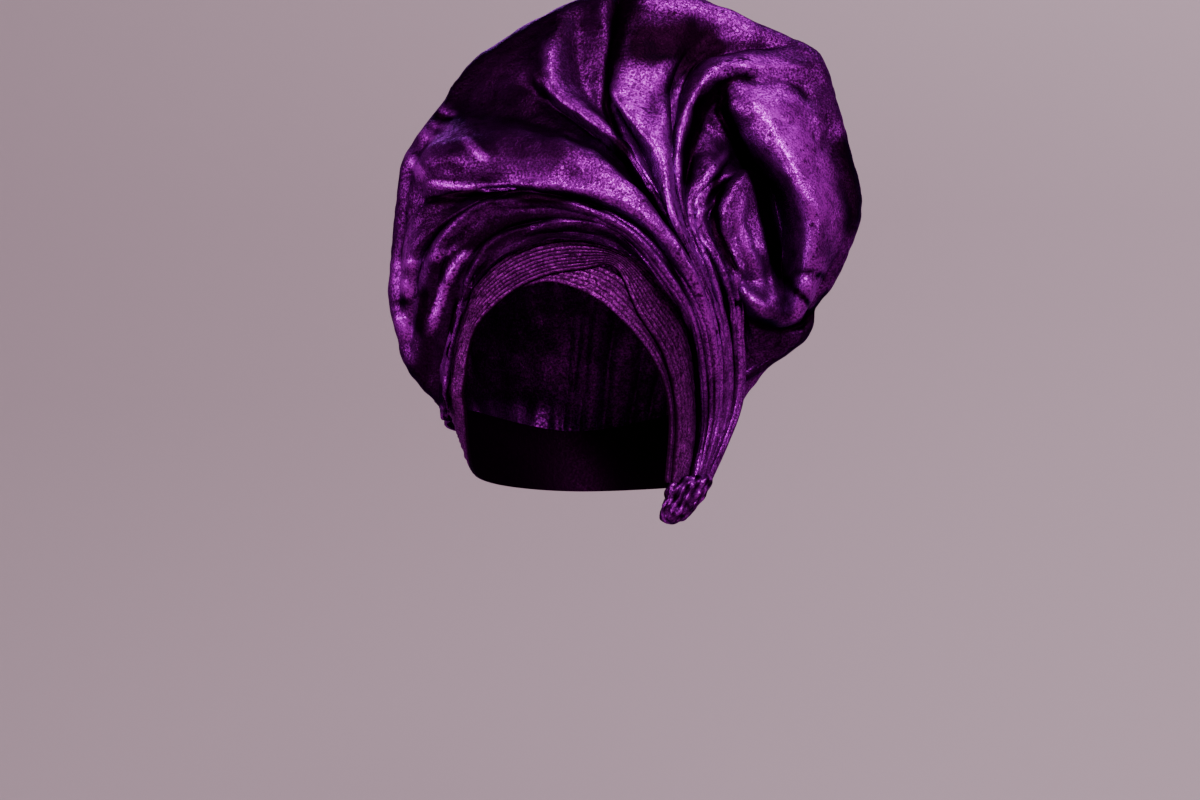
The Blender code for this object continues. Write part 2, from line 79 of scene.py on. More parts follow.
# Walls and relief of the visible cloth
CLOTH_WALL = 0.0016
WRAP_WALL = 0.0014
BAND_PLEAT_HEIGHT = 0.0014
UNDER_PLEAT_HEIGHT = 0.0006
DRAPE_GATHER_HEIGHT = 0.0065
DRAPE_FOLD_HEIGHT = 0.003

# Height of the ends of the pleats above the tucked end, as a share of the head's rise
TIE_HEIGHT = -0.57

# How much the head narrows towards the nape for each metre below the temples
NARROWING = 4.7

# The forehead leans back up to this share of the head's rise
LEAN_TO = 1.2

# Past its upper edge a wrap turns on round the head, but it climbs no higher than this share of its height
HIGHEST_SHARE = 1.3

# The front drawing of the fan counts this many units across its width and up its height
DRAWN_WIDTH = 467
DRAWN_HEIGHT = 403

# Fineness of the visible meshes
FAN_STEPS_A_FOLD = 13
FAN_ROWS = 136
RIM_ROWS = 9
DRAPE_ROWS = 70
BAND_COLUMNS = 330
BAND_STEPS = 121
UNDER_COLUMNS = 160
UNDER_STEPS = 31
TUCK_COLUMNS = 160
TUCK_ROWS = 70
BEND_STEPS = 12
STAGE_COLUMNS = 72
NORMAL_PASSES = 3

# Edges of the forehead band and the under wrap: turn in degrees, height as a share of the head's rise
Row = namedtuple("Row", "place lower_turn lower_height upper_turn upper_height")
BAND = (
    Row("ear", 53, TIE_HEIGHT, 64, TIE_HEIGHT),
    Row("cheek", 55, -0.17, 72, -0.06),
    Row("eye", 46, 0.22, 66, 0.28),
    Row("brow", 31, 0.50, 48, 0.59),
    Row("crossing", 20, 0.79, 24, 0.88),
    Row("middle", 5, 0.78, 6, 0.98),
    Row("apex", -13, 0.73, -10, 0.97),
    Row("free brow", -31, 0.59, -29, 0.86),
    Row("free temple", -48, 0.37, -46, 0.67),
    Row("free eye", -55, 0.04, -65, 0.32),
    Row("free cheek", -61, -0.19, -73, -0.03),
    Row("free ear", -80, -0.47, -92, -0.10),
    Row("behind ear", -118, -0.60, -122, -0.12),
    Row("nape", -180, -0.68, -180, -0.26),
    Row("behind tie", -240, -0.64, -236, -0.14),
    Row("tie", -279, TIE_HEIGHT, -276, -0.08),
)
UNDER = (
    Row("ear", 51, TIE_HEIGHT, 61, TIE_HEIGHT),
    Row("cheek", 53, -0.20, 63, -0.14),
    Row("eye", 48, 0.05, 60, 0.10),
    Row("brow", 38, 0.26, 50, 0.36),
    Row("temple", 23, 0.47, 33, 0.62),
    Row("rise", 10, 0.61, 17, 0.78),
    Row("apex", -8, 0.70, -6, 0.86),
    Row("end", -24, 0.66, -22, 0.80),
)

# One row a fold, from the band outwards, as in the construction: its lift, the depth of the valley after
# it, where it crosses the stack at the cheek and the brow, what is left of that valley beyond the turn, and
# how much it takes of the pocket and of the big roll
Fold = namedtuple("Fold", "name lift valley cheek brow beyond pocket roll", defaults=(1.0, 0.0, 0.0))
FOLDS = (
    Fold("tuck", 0.2, 0.3, 0.03, 0.04),
    Fold("inner", 0.3, 0.3, 0.07, 0.08),
    Fold("brow roll", 0.8, 1.1, 0.13, 0.12),
    Fold("rim bite", 0.3, 0.15, 0.19, 0.20),
    Fold("rim patch", 0.1, 0.5, 0.24, 0.26),
    Fold("low crest", 0.9, 0.0, 0.29, 0.32),
    Fold("broad", 1.1, 0.0, 0.33, 0.36),
    Fold("high crest", 0.9, 0.5, 0.37, 0.40),
    Fold("dark panel", -0.5, 0.1, 0.41, 0.43),
    Fold("top ridge", 0.6, 0.6, 0.45, 0.46),
    Fold("top dent", 0.0, 1.2, 0.49, 0.50),
    Fold("middle", 1.2, 0.0, 0.54, 0.55),
    Fold("middle face", 0.7, 0.2, 0.58, 0.58),
    Fold("hollow face", 0.0, 0.8, 0.61, 0.61),
    Fold("hook", 0.7, 0.9, 0.65, 0.64, 0.6, 0.0, 0.35),
    Fold("thin", 0.6, 0.7, 0.71, 0.70, 0.1, 0.4, 0.8),
    Fold("second thin", 0.7, 1.0, 0.80, 0.82, 0.1, 0.8, 1.0),
    Fold("leaf", 1.0, 0.2, 0.88, 0.92, 0.1, 1.0, 1.0),
    Fold("leaf foot", 0.6, 1.0, 0.94, 0.96, 0.1, 0.8, 1.0),
    Fold("lower roll", 0.9, 0.4, 0.98, 0.98, 0.5, 0.1, 0.5),
    Fold("turned edge", -0.9, 0.0, 0.99, 0.99),
    Fold("back panel", -1.4, 0.0, 1.00, 1.00),
    Fold("panel foot", -1.5, 0.0, 1.01, 1.01),
)

# Where the crest of each fold runs beyond the stack: x and z in drawing units, from the head's middle at
# the temples
Line = namedtuple("Line", "fold throat near half far rim")
LINES = (
    Line("tuck", (90, 104), (47, 151), (-26, 161), (-93, 120), (-124, -21)),
    Line("inner", (93, 106), (50, 155), (-38, 170), (-110, 128), (-135, -4)),
    Line("brow roll", (97, 109), (55, 156), (-38, 188), (-122, 153), (-159, 22)),
    Line("rim bite", (101, 113), (59, 160), (-46, 194), (-146, 149), (-177, 76)),
    Line("rim patch", (104, 115), (62, 163), (-51, 197), (-146, 180), (-179, 126)),
    Line("low crest", (108, 119), (67, 168), (-21, 198), (-112, 202), (-173, 179)),
    Line("broad", (111, 123), (70, 174), (-11, 214), (-126, 229), (-167, 229)),
    Line("high crest", (113, 126), (73, 181), (2, 236), (-101, 254), (-144, 268)),
    Line("dark panel", (115, 128), (79, 186), (37, 239), (-41, 296), (-99, 333)),
    Line("top ridge", (117, 129), (84, 184), (48, 242), (-21, 309), (-24, 382)),
    Line("top dent", (118, 130), (88, 186), (54, 244), (36, 314), (30, 402)),
    Line("middle", (120, 125), (98, 167), (84, 234), (44, 305), (66, 403)),
    Line("middle face", (123, 124), (102, 178), (93, 244), (89, 319), (129, 398)),
    Line("hollow face", (125, 123), (105, 179), (100, 249), (119, 334), (189, 374)),
    Line("hook", (128, 121), (108, 179), (106, 249), (141, 321), (247, 341)),
    Line("thin", (136, 118), (115, 171), (137, 222), (189, 282), (267, 284)),
    Line("second thin", (149, 118), (124, 172), (151, 214), (211, 244), (280, 232)),
    Line("leaf", (160, 115), (145, 156), (175, 212), (234, 196), (288, 178)),
    Line("leaf foot", (164, 108), (167, 132), (193, 154), (242, 154), (279, 146)),
    Line("lower roll", (167, 98), (178, 88), (199, 80), (229, 82), (259, 111)),
    Line("turned edge", (171, 90), (180, 76), (200, 68), (224, 72), (245, 88)),
    Line("back panel", (173, 82), (180, 62), (196, 48), (216, 44), (236, 58)),
    Line("panel foot", (174, 74), (174, 56), (172, 40), (171, 24), (170, 8)),
)

# Painted light and shade on the fan, one row a fold, for the strip from its crest to the next: how brightly
# it is painted near the throat, half way out, and beyond the way at which the cloth turns
Pile = namedtuple("Pile", "fold near half rim turn", defaults=(0.80,))
PAINTED_STRIPS = (
    Pile("hem", 0.20, 0.10, 0.15),
    Pile("tuck", 0.20, 0.10, 0.15),
    Pile("inner", 0.22, 0.10, 0.15),
    Pile("brow roll", 0.25, 0.12, 0.45),
    Pile("rim bite", 0.22, 0.12, 0.60),
    Pile("rim patch", 0.20, 0.12, 0.30),
    Pile("low crest", 0.40, 0.28, 0.34),
    Pile("broad", 0.56, 0.18, 0.38),
    Pile("high crest", 0.12, 0.10, 0.12),
    Pile("dark panel", 0.08, 0.10, 0.12),
    Pile("top ridge", 0.38, 0.28, 0.18),
    Pile("top dent", 0.45, 0.60, 0.08),
    Pile("middle", 0.70, 0.72, 0.22),
    Pile("middle face", 0.70, 0.45, 0.42),
    Pile("hollow face", 0.20, 0.24, 0.50, 0.78),
    Pile("hook", 0.28, 0.26, 0.58, 0.74),
    Pile("thin", 0.45, 0.26, 0.74, 0.72),
    Pile("second thin", 0.35, 0.20, 0.78, 0.72),
    Pile("leaf", 0.50, 0.32, 0.90, 0.72),
    Pile("leaf foot", 0.38, 0.30, 0.72, 0.72),
    Pile("lower roll", 0.30, 0.40, 0.60, 0.72),
    Pile("turned edge", 0.20, 0.20, 0.25),
    Pile("back panel", 0.25, 0.25, 0.30),
    Pile("panel foot", 0.25, 0.25, 0.30),
)

# The ways at which those three brightnesses hold, the length of the change at the turn, and how much of the
# way to the next crest a strip takes to blend into it
PAINTED_STRIP_WAYS = (0.38, 0.54, 0.66)
TURN_LENGTH = 0.08
STRIP_BLEND = 0.3

# The stack's painted light and shade at the ear, the cheek and the throat, and the ways of those three
STACK_PAINTED_LIGHT = (0.12, 0.26, 0.56)
STACK_PAINTED_WAYS = (0.02, 0.14, 0.28)

# Painted shade on the rim, which makes it dimmer than the fan, most so past this fold
RIM_PAINTED_SHADE_FADE = (0.92, 0.06)
RIM_PAINTED_SHADE = 0.3
RIM_PAINTED_SHADE_MOST = 0.5
RIM_PAINTED_SHADE_FOLD = 14.5

# Brightness of the other pieces, how far it swings, and the size of its patches on the tucked end
TUCK_PILE = 0.40
TUCK_PILE_SWING = 0.30
TUCK_PILE_SIZE = 0.007
LINING_PILE = 0.50
DRAPE_PILE = 0.42
# Painted light on the drape's gathers and painted shade between them
DRAPE_GATHER_PAINTED_LIGHT = 0.40
DRAPE_PILE_FADE = (0.0, 0.2)
# Painted shade in the valleys of the wraps' knife pleats and painted light on their rise
VALLEY_PAINTED_SHADE = 0.08
PLEAT_PAINTED_LIGHT = 0.80

# The pleats of the stack: how many, how deep, how round, how far their painted light and shade swings about
# its mean, and where along the cloth they end
STACK_PLEATS = 9
STACK_PLEAT_DEPTH = 0.0030
STACK_PLEAT_ROUND = 0.5
STACK_PLEAT_PAINTED_LIGHT = 1.1
STACK_PLEAT_MEAN = 0.62
STACK_PLEATS_FADE = (0.30, 0.14)

# The knife pleats of the wraps: how many, how much of a pleat rises and falls, and how round both are
BAND_PLEATS = 9
UNDER_PLEATS = 6
PLEAT_RISE = 0.8
PLEAT_RISE_ROUND = 0.6
PLEAT_FALL = 0.2
PLEAT_FALL_ROUND = 0.8

# How far the knife pleats drift, over which share of the wrap, and their small crinkles
PLEAT_DRIFT = 0.035
PLEAT_DRIFT_SIZE = 0.18
PLEAT_CRINKLE = 0.25
PLEAT_CRINKLE_SIZE = 0.006

# How much wider the band runs on under the stack at the ear, how far along it that fades, and how much
# coarser its pleats are there
BAND_UNDER = 1.1
BAND_UNDER_FADE = (0.0, 0.30)
BAND_COARSER = 0.40

# Over how many folds the stack rises from the band
STACK_RISE_FOLDS = 8.0

# How the ends of the stack turn in and down to the tucked end, over this way from the ear
STACK_END_FADE = (0.0, 0.14)
STACK_END_IN = 0.008
STACK_END_DOWN = 0.012

# How far the cloth hugs the band, in folds from its hem
HUG_FADE = (0.0, 3.0)

# Height, size and seed of the cloth's large and small crumples, and how much is left of them by the ear
CRUMPLES = ((0.0007, 0.030, 3), (0.00035, 0.012, 5))
CRUMPLE_FADE = (0.1, 0.4)
CRUMPLE_LEAST = 0.15

# Outer edge of the stack of pleats: share of the stack's width beyond the head's side, and height
StackRow = namedtuple("StackRow", "place reach height")
STACK = (
    StackRow("ear", 0.42, TIE_HEIGHT),
    StackRow("cheek", 1.00, -0.05),
    StackRow("brow", 1.00, 0.44),
)

# Stations along the cloth: way, place of the hem in rows of the band, depth of the inner, middle and outer
# folds as shares of the fan's swell, and how strongly the folds show
Station = namedtuple("Station", "place way hem inner middle outer fold")
STATIONS = (
    Station("ear", 0.00, 0.0, 0.56, 0.40, 0.22, 0.06),
    Station("cheek", 0.13, 0.8, 0.48, 0.28, -0.06, 0.12),
    Station("brow", 0.26, 2.4, 0.74, 0.52, 0.10, 0.28),
    Station("throat", 0.37, 3.6, 0.92, 0.84, 0.36, 0.60),
    Station("near", 0.48, 4.2, 0.97, 0.88, 0.34, 0.85),
    Station("half", 0.64, 6.0, 0.97, 0.68, 0.26, 1.00),
    Station("far", 0.82, 8.0, 0.80, 0.36, 0.20, 0.90),
    Station("rim", 1.00, 10.3, 0.40, 0.12, 0.06, 0.30),
)

# Creases read off the photograph in its pixels: height towards the viewer in crease units, below nought
# for a dip, how much painted light they add there (painted shade below nought), how far each reaches to the
# left and right of the way its points run, and those points
Crease = namedtuple("Crease", "name height pile left right points")
CREASES = (
    Crease("brow roll", 3.5, 0.25, 10, 12, (
        (433, 263), (444, 247), (468, 230), (499, 216), (533, 207), (562, 210), (593, 219), (614, 231),
        (640, 245), (655, 267), (664, 283), (675, 299), (683, 315), (691, 338),
    )),
    Crease("low crest", 4.0, 0.35, 14, 7, (
        (500, 194), (530, 196), (570, 198), (600, 205), (621, 214), (644, 230), (656, 241), (667, 256),
        (678, 272), (692, 300), (706, 340),
    )),
    Crease("left valley", -5.0, -0.6, 8, 8, (
        (424, 204), (450, 204), (480, 202), (510, 203), (540, 206), (580, 209), (610, 222),
    )),
    Crease("left streak", 3.5, 0.9, 5, 5, ((428, 186), (450, 191), (470, 193), (492, 194), (520, 196))),
    Crease("rim tuck one", 4.0, 0.9, 6, 6, ((434, 103), (446, 110), (459, 118))),
    Crease("rim valley one", -3.0, -0.4, 5, 5, ((426, 111), (441, 118), (456, 125))),
    Crease("rim tuck two", 2.5, 0.5, 6, 6, ((422, 120), (440, 127), (456, 132))),
    Crease("rim tuck three", 4.5, 0.9, 6, 8, ((418, 129), (430, 137), (440, 145))),
    Crease("rim shade", -1.5, -0.15, 10, 10, ((440, 162), (453, 171), (474, 180))),
    Crease("rim facet", 4.5, 1.1, 8, 9, ((408, 150), (416, 166), (430, 184))),
    Crease("rim tuck four", 4.0, 0.7, 6, 6, ((461, 142), (474, 152), (486, 164), (495, 173))),
    Crease("dim fold", 2.5, 0.15, 7, 7, (
        (587, 230), (559, 230), (538, 235), (513, 250), (485, 266), (470, 280), (464, 300),
    )),
    Crease("rim line", 3.5, 0.8, 5, 6, ((392, 268), (410, 266), (432, 265))),
    Crease("rim patch one", 3.5, 0.9, 10, 10, ((398, 286), (410, 288), (422, 292))),
    Crease("rim crack", -1.5, -0.5, 7, 7, ((388, 303), (403, 303), (417, 301))),
    Crease("rim patch two", 5.0, 1.0, 10, 13, ((402, 312), (407, 326), (411, 344))),
    Crease("rim hollow", -3.5, -0.5, 7, 7, ((428, 284), (426, 310), (420, 340))),
    Crease("temple facet", 4.0, 0.8, 6, 6, ((434, 264), (448, 257), (463, 252))),
    Crease("temple fold", 5.0, 0.9, 8, 7, (
        (480, 254), (466, 264), (456, 276), (447, 290), (441, 312), (432, 336),
    )),
    Crease("temple valley", -3.0, -0.4, 6, 6, ((462, 300), (456, 330), (452, 370))),
    Crease("temple streak", 2.0, 0.3, 3, 3, ((451, 348), (450, 374))),
    Crease("cheek patch", 3.0, 0.4, 6, 5, ((438, 410), (447, 407), (456, 404))),
    Crease("panel edge", 1.5, 0.05, 9, 20, (
        (455, 122), (500, 135), (550, 145), (600, 152), (630, 170), (645, 200), (655, 225),
    )),
    Crease("top ridge", 5.0, 0.45, 12, 8, (
        (547, 40), (550, 70), (552, 90), (560, 105), (580, 120), (600, 138), (617, 151), (635, 175),
        (648, 205),
    )),
    Crease("small ridge", 3.0, 0.15, 8, 8, ((600, -4), (603, 20), (606, 42))),
    Crease("top valley", -7.0, -0.6, 7, 9, (
        (621, -5), (618, 34), (611, 69), (607, 114), (618, 145), (635, 186), (655, 220),
    )),
    Crease("middle shade", -1.0, -0.50, 32, 36, ((628, 44), (655, 50), (680, 46), (705, 40), (725, 34))),
    Crease("top patch", 1.0, 0.60, 14, 14, ((636, 2), (670, 1), (700, 6), (730, 15), (758, 28))),
    Crease("middle crest", 4.0, 0.25, 26, 7, (
        (616, 84), (618, 104), (628, 124), (648, 151), (660, 170), (661, 209), (669, 230), (681, 265),
        (699, 287), (706, 306),
    )),
    Crease("over hook", -5.0, -0.35, 14, 14, (
        (640, 150), (655, 110), (675, 80), (700, 55), (735, 45), (780, 48),
    )),
    Crease("hook", 4.0, 0.50, 3, 4, (
        (674, 200), (674, 168), (678, 138), (686, 114), (697, 92), (710, 76), (726, 69), (748, 70),
        (780, 67), (812, 68),
    )),
    Crease("under hook", -7.0, -0.7, 9, 9, (
        (684, 194), (687, 152), (698, 115), (716, 90), (735, 81), (760, 84),
    )),
    Crease("thin fold", 4.5, 0.4, 4, 5, (
        (729, 149), (718, 165), (705, 182), (694, 203), (689, 219), (691, 233), (702, 255), (715, 290),
        (724, 340),
    )),
    Crease("between folds", -2.5, -0.4, 4, 4, ((725, 164), (712, 190), (700, 208))),
    Crease("second thin fold", 3.5, 0.3, 3, 4, (
        (728, 176), (721, 192), (710, 209), (697, 217), (694, 228), (699, 244), (718, 271), (729, 298),
        (735, 330),
    )),
    Crease("leaf valley", -7.0, -0.8, 6, 7, ((724, 182), (713, 212), (715, 236), (727, 262), (738, 282))),
    Crease("leaf", 6.0, 0.35, 9, 10, ((742, 196), (737, 225), (744, 250), (756, 275), (763, 294))),
    Crease("leaf crinkle", 2.0, 0.4, 5, 5, ((750, 243), (759, 252), (766, 259))),
    Crease("pocket", -12.0, -0.9, 13, 8, (
        (722, 84), (720, 114), (734, 141), (748, 168), (758, 200), (766, 235), (773, 262), (781, 282),
    )),
    Crease("big roll", 2.5, 0.10, 40, 34, (
        (745, 95), (762, 115), (780, 145), (794, 176), (805, 211), (812, 250), (818, 275),
    )),
    Crease("roll glow", 0.0, 0.30, 26, 26, ((752, 105), (768, 125), (784, 150), (800, 180))),
    Crease("stack shade", 0.0, -0.35, 9, 9, ((712, 372), (708, 400), (704, 430), (700, 462))),
    Crease("roll side", 0.0, -0.70, 26, 26, ((840, 130), (849, 170), (852, 210), (846, 240))),
    Crease("roll foot", 0.0, -0.45, 20, 20, ((812, 215), (820, 245), (824, 268))),
    Crease("roll wrinkle", -2.0, -0.30, 5, 5, ((800, 168), (818, 150), (834, 128))),
    Crease("roll crest", 1.5, 0.35, 5, 5, ((790, 186), (798, 202), (802, 220))),
    Crease("roll hollow", -4.0, -0.4, 13, 13, ((785, 84), (800, 93), (812, 110))),
    Crease("over notch", -2.5, -0.9, 5, 4, ((780, 284), (793, 279), (806, 275), (820, 276), (832, 280))),
    Crease("notch face", 0.5, 0.45, 9, 9, ((800, 286), (813, 289), (826, 286))),
    Crease("notch point", 1.0, 0.5, 6, 6, ((813, 290), (813, 304))),
    Crease("notch left", -2.5, -0.9, 5, 4, ((789, 284), (799, 298), (811, 314))),
    Crease("notch right", -2.0, -0.8, 4, 5, ((830, 284), (824, 298), (815, 312))),
    Crease("lower roll", 5.0, 0.4, 6, 7, (
        (732, 272), (740, 292), (752, 304), (760, 309), (770, 300), (783, 290),
    )),
    Crease("under lower roll", -6.0, -0.5, 8, 8, ((748, 318), (780, 328), (804, 324), (830, 292))),
)

# Over how many pixels the ends of a crease fade, at most this share of its length, and how many metres one
# unit of its height is
CREASE_FADE = 14.0
CREASE_END_SHARE = 0.3
CREASE_UNIT = 0.0006

# A crease is shallower where the face turns away from the front, but keeps this much
FACING_GAIN = 2.0
LEAST_FACING = 0.15

# Size of a pixel of the photograph, its width, and the pixel of the head's middle at the temples
PIXEL = 0.00062
PHOTO_WIDTH = 1200
MIDDLE_PIXEL = (571, 394)

# Where the pocket and the big roll lie along the cloth
POCKET_WAY = 0.71
POCKET_REACH = 0.075
ROLL_FROM = 0.82
ROLL_FALL = 0.5

# Near the ear the folds stand out sideways by this slope. Valleys flatten beyond the turn. The fan eases
# into the rim's roll.
STACK_SLANT = 1.1
SIDEWAYS_FADE = (0.25, 0.25)
BEYOND_FADE = (0.60, 0.14)
RIM_EASE_FADE = (0.6, 0.4)

# The first valley, between the hem and the first fold
HEM_VALLEY = 0.1

# The rim's roll keeps this share of its radius at its ends, and all of it from this many folds inwards
RIM_END_SHARE = 0.3
RIM_END_FADE = (0.0, 3.0)

# Share of the band's height at which the fan's hem lies
HEM_SHARE = 0.97

# Edge of the drape at the nape: turns in degrees and heights as shares of the head's rise
DRAPE_FREE_TURN = -86
DRAPE_TIED_TURN = -274
DRAPE_CORNER_HEIGHT = -0.04
DRAPE_CORNER_SHARE = 0.06
DRAPE_FREE_HEIGHT = -0.17
DRAPE_TIED_HEIGHT = -0.56
DRAPE_NAPE_HEIGHT = -0.50

# The drape comes down from this far above its edge and beyond it, as shares of the way there
DRAPE_ABOVE = 0.42
DRAPE_BEYOND = 0.06

# How fast the gathers grow towards the nape, how the relief fades at both ends of the rim, and the size of
# the long folds along a rim of this length
GATHER_GROWTH = 1.3
DRAPE_END_FADE = (0.0, 0.10)
DRAPE_RIM = 0.5
DRAPE_FOLD_SIZE = 0.07

# The gathers wander sideways, differ in width and are weaker in places. Each wave has its height, its
# turns along the rim and, where it has them, its turns from the rim to the nape.
GATHER_WANDER = (0.45, 2.3, 1.1)
GATHER_UNEVEN = ((0.80, 1.7), (0.35, 4.3))
GATHER_WEAK = (0.7, 3.1, 0.4)
GATHER_ROUND = 0.6
GATHER_MEAN = 0.6

# The tucked end: the middle of its top, how much higher it starts than the ends of the pleats, how far its
# foot leans in, how much deeper and narrower it gets, and how it rounds off at its foot and top
TUCK_TOP = (0.0764, -0.043)
TUCK_UP = 0.004
TUCK_LEAN = -0.0150
TUCK_DEEPER = 1.15
TUCK_NARROWER = 0.32
TUCK_TAPER = 1.2
TUCK_ROUND_POWER = 7
TUCK_TOP_ROUND = 0.4
TUCK_TOP_POWER = 12

# Its gathers: their depth as a share, how much of it is left at both ends, their twist and their crinkles
TUCK_PLEAT_SHARE = 0.16
TUCK_END_SHARE = 0.4
TUCK_TWIST = 1.5
TUCK_CRINKLE = 0.0009
TUCK_CRINKLE_SIZE = 0.008

# Drops the height of a point
LEVEL = np.array([1.0, 1.0, 0.0])

# A wrap's mesh, its place and wall, its pleats, and how much wider it runs on under the stack
Wrap = namedtuple("Wrap", "name rows columns steps stand_off wall height pleats seed beyond")
BAND_WRAP = Wrap(
    "forehead_band_cloth", BAND, BAND_COLUMNS, BAND_STEPS, BAND_STAND_OFF, WRAP_WALL, BAND_PLEAT_HEIGHT,
    BAND_PLEATS, 11, BAND_UNDER,
)
UNDER_WRAP = Wrap(
    "under_wrap_cloth", UNDER, UNDER_COLUMNS, UNDER_STEPS,
    BAND_STAND_OFF - CLEARANCE - WRAP_WALL - UNDER_PLEAT_HEIGHT, WRAP_WALL, UNDER_PLEAT_HEIGHT,
    UNDER_PLEATS, 12, 0.0,
)

# The camera: the point that it faces, how far off it stands, and the width of its sensor in millimetres
CAMERA_AIM = (0.018, -0.025, -0.004)
CAMERA_DISTANCE = 1.6
SENSOR_WIDTH = 36.0

# The stage: height of its floor and top, its radius and the bend between floor and backdrop
FLOOR_HEIGHT = -0.85
STAGE_TOP = 3.2
STAGE_RADIUS = 3.4
STAGE_BEND = 1.2

# Soft rectangular lights: where each stands, what it faces, its two sides and its power in watts
Light = namedtuple("Light", "name place aim size power")
LIGHTS = (
    Light("key", (0.25, -1.65, 0.85), (0.03, 0.0, 0.12), (0.35, 0.35), 38),
    Light("top", (0.35, -0.8, 1.5), (0.03, 0.0, 0.1), (0.40, 0.40), 18),
    Light("fill", (-1.3, -0.9, 0.45), (0.0, 0.0, 0.1), (0.4, 0.8), 16),
    Light("left", (-1.5, -0.2, 0.4), (0.0, 0.0, 0.1), (0.3, 0.8), 10),
    Light("side", (1.3, -0.5, 0.4), (0.0, 0.0, 0.1), (0.3, 0.8), 6),
    Light("backdrop", (1.3, 1.0, 2.4), (1.1, 3.4, 0.4), (1.6, 0.4), 105),
    Light("back", (-0.6, 2.2, 1.6), (0.0, 0.0, 0.1), (0.6, 0.6), 25),
)
WORLD_COLOUR = (0.9, 0.85, 1.0, 1.0)
WORLD_STRENGTH = 0.06


def catmull(points, knots, t):
    """A smooth curve through points at the knots, read at each t."""
    points = np.asarray(points, float)
    knots = np.asarray(knots, float)
    slopes = np.gradient(points, knots, axis=0, edge_order=1)
    k = np.clip(np.searchsorted(knots, t, side="right") - 1, 0, len(knots) - 2)
    span = knots[k + 1] - knots[k]
    shape = (-1,) + (1,) * (points.ndim - 1)
    s = ((t - knots[k]) / span).reshape(shape)
    span = span.reshape(shape)
    start = (2 * s**3 - 3 * s**2 + 1) * points[k] + (s**3 - 2 * s**2 + s) * span * slopes[k]
    end = (3 * s**2 - 2 * s**3) * points[k + 1] + (s**3 - s**2) * span * slopes[k + 1]
    return start + end


def unit(vectors):
    """The vectors at length one."""
    return vectors / np.maximum(np.linalg.norm(vectors, axis=-1, keepdims=True), 1e-12)


def normals_of(grid):
    """The normal at each point of a grid of points, right hand from rows to columns."""
    along = np.gradient(grid, axis=0)
    across = np.gradient(grid, axis=1)
    return unit(np.cross(along, across))


def soft_normals(grid, passes):
    """The normals, evened out between neighbours so that tight corners stay smooth."""
    normals = normals_of(grid)
    for _ in range(passes):
        wide = np.pad(normals, ((1, 1), (1, 1), (0, 0)), mode="edge")
        sides = wide[:-2, 1:-1] + wide[2:, 1:-1] + wide[1:-1, :-2] + wide[1:-1, 2:]
        normals = unit(sides + normals)
    return normals


def round_head(turn, height, stand_off):
    """Points round the head at these turns, heights and distances from it."""
    angle = np.radians(turn)
    below = np.maximum(-height, 0.0)
    narrow = 1.0 - NARROWING * below * (1.0 - np.sin(angle)) / 2.0
    lean = BAND_LEAN * np.clip(height / HEAD_RISE, 0.0, LEAN_TO) ** 2 * np.clip(np.cos(angle), 0.0, 1.0)
    x = (HEAD_WIDTH / 2.0 * narrow + stand_off) * np.sin(angle)
    y = -(HEAD_DEPTH / 2.0 * narrow + stand_off) * np.cos(angle) + lean
    return np.stack([x, y, height + 0.0 * x], axis=-1)


def clear_of_head(points, stand_off):
    """Points that lie nearer to the head than the stand-off, moved out to it."""
    x, y, z = points[..., 0], points[..., 1], points[..., 2]
    sine = np.clip(x / (HEAD_WIDTH / 2.0 + stand_off), -1.0, 1.0)
    narrow = 1.0 - NARROWING * np.maximum(-z, 0.0) * (1.0 - sine) / 2.0
    deep = HEAD_DEPTH / 2.0 * narrow + stand_off
    cosine = np.clip(-y / deep, 0.0, 1.0)
    lean = BAND_LEAN * np.clip(z / HEAD_RISE, 0.0, LEAN_TO) ** 2 * cosine
    ratio = np.hypot(x / (HEAD_WIDTH / 2.0 * narrow + stand_off), (y - lean) / deep)
    crown = np.sqrt(np.clip(1.0 - (np.maximum(z - HEAD_RISE, 0.0) / CROWN_RISE) ** 2, 0.0, 1.0))
    grow = np.where(ratio < crown, crown / np.maximum(ratio, 1e-3), 1.0)
    return np.stack([x * grow, lean + (y - lean) * grow, z], axis=-1)


def edge_points(rows, share, way, stand_off):
    """Points on a wrap: share 0 is its lower edge and 1 its upper, way runs along it from 0 to 1."""
    knots = np.linspace(0.0, 1.0, len(rows))
    table = np.array([row[1:] for row in rows], float)
    here = catmull(table, knots, way)
    turn = here[:, 0] + share * (here[:, 2] - here[:, 0])
    height = (here[:, 1] + np.minimum(share, HIGHEST_SHARE) * (here[:, 3] - here[:, 1])) * HEAD_RISE
    return round_head(turn, height, stand_off)


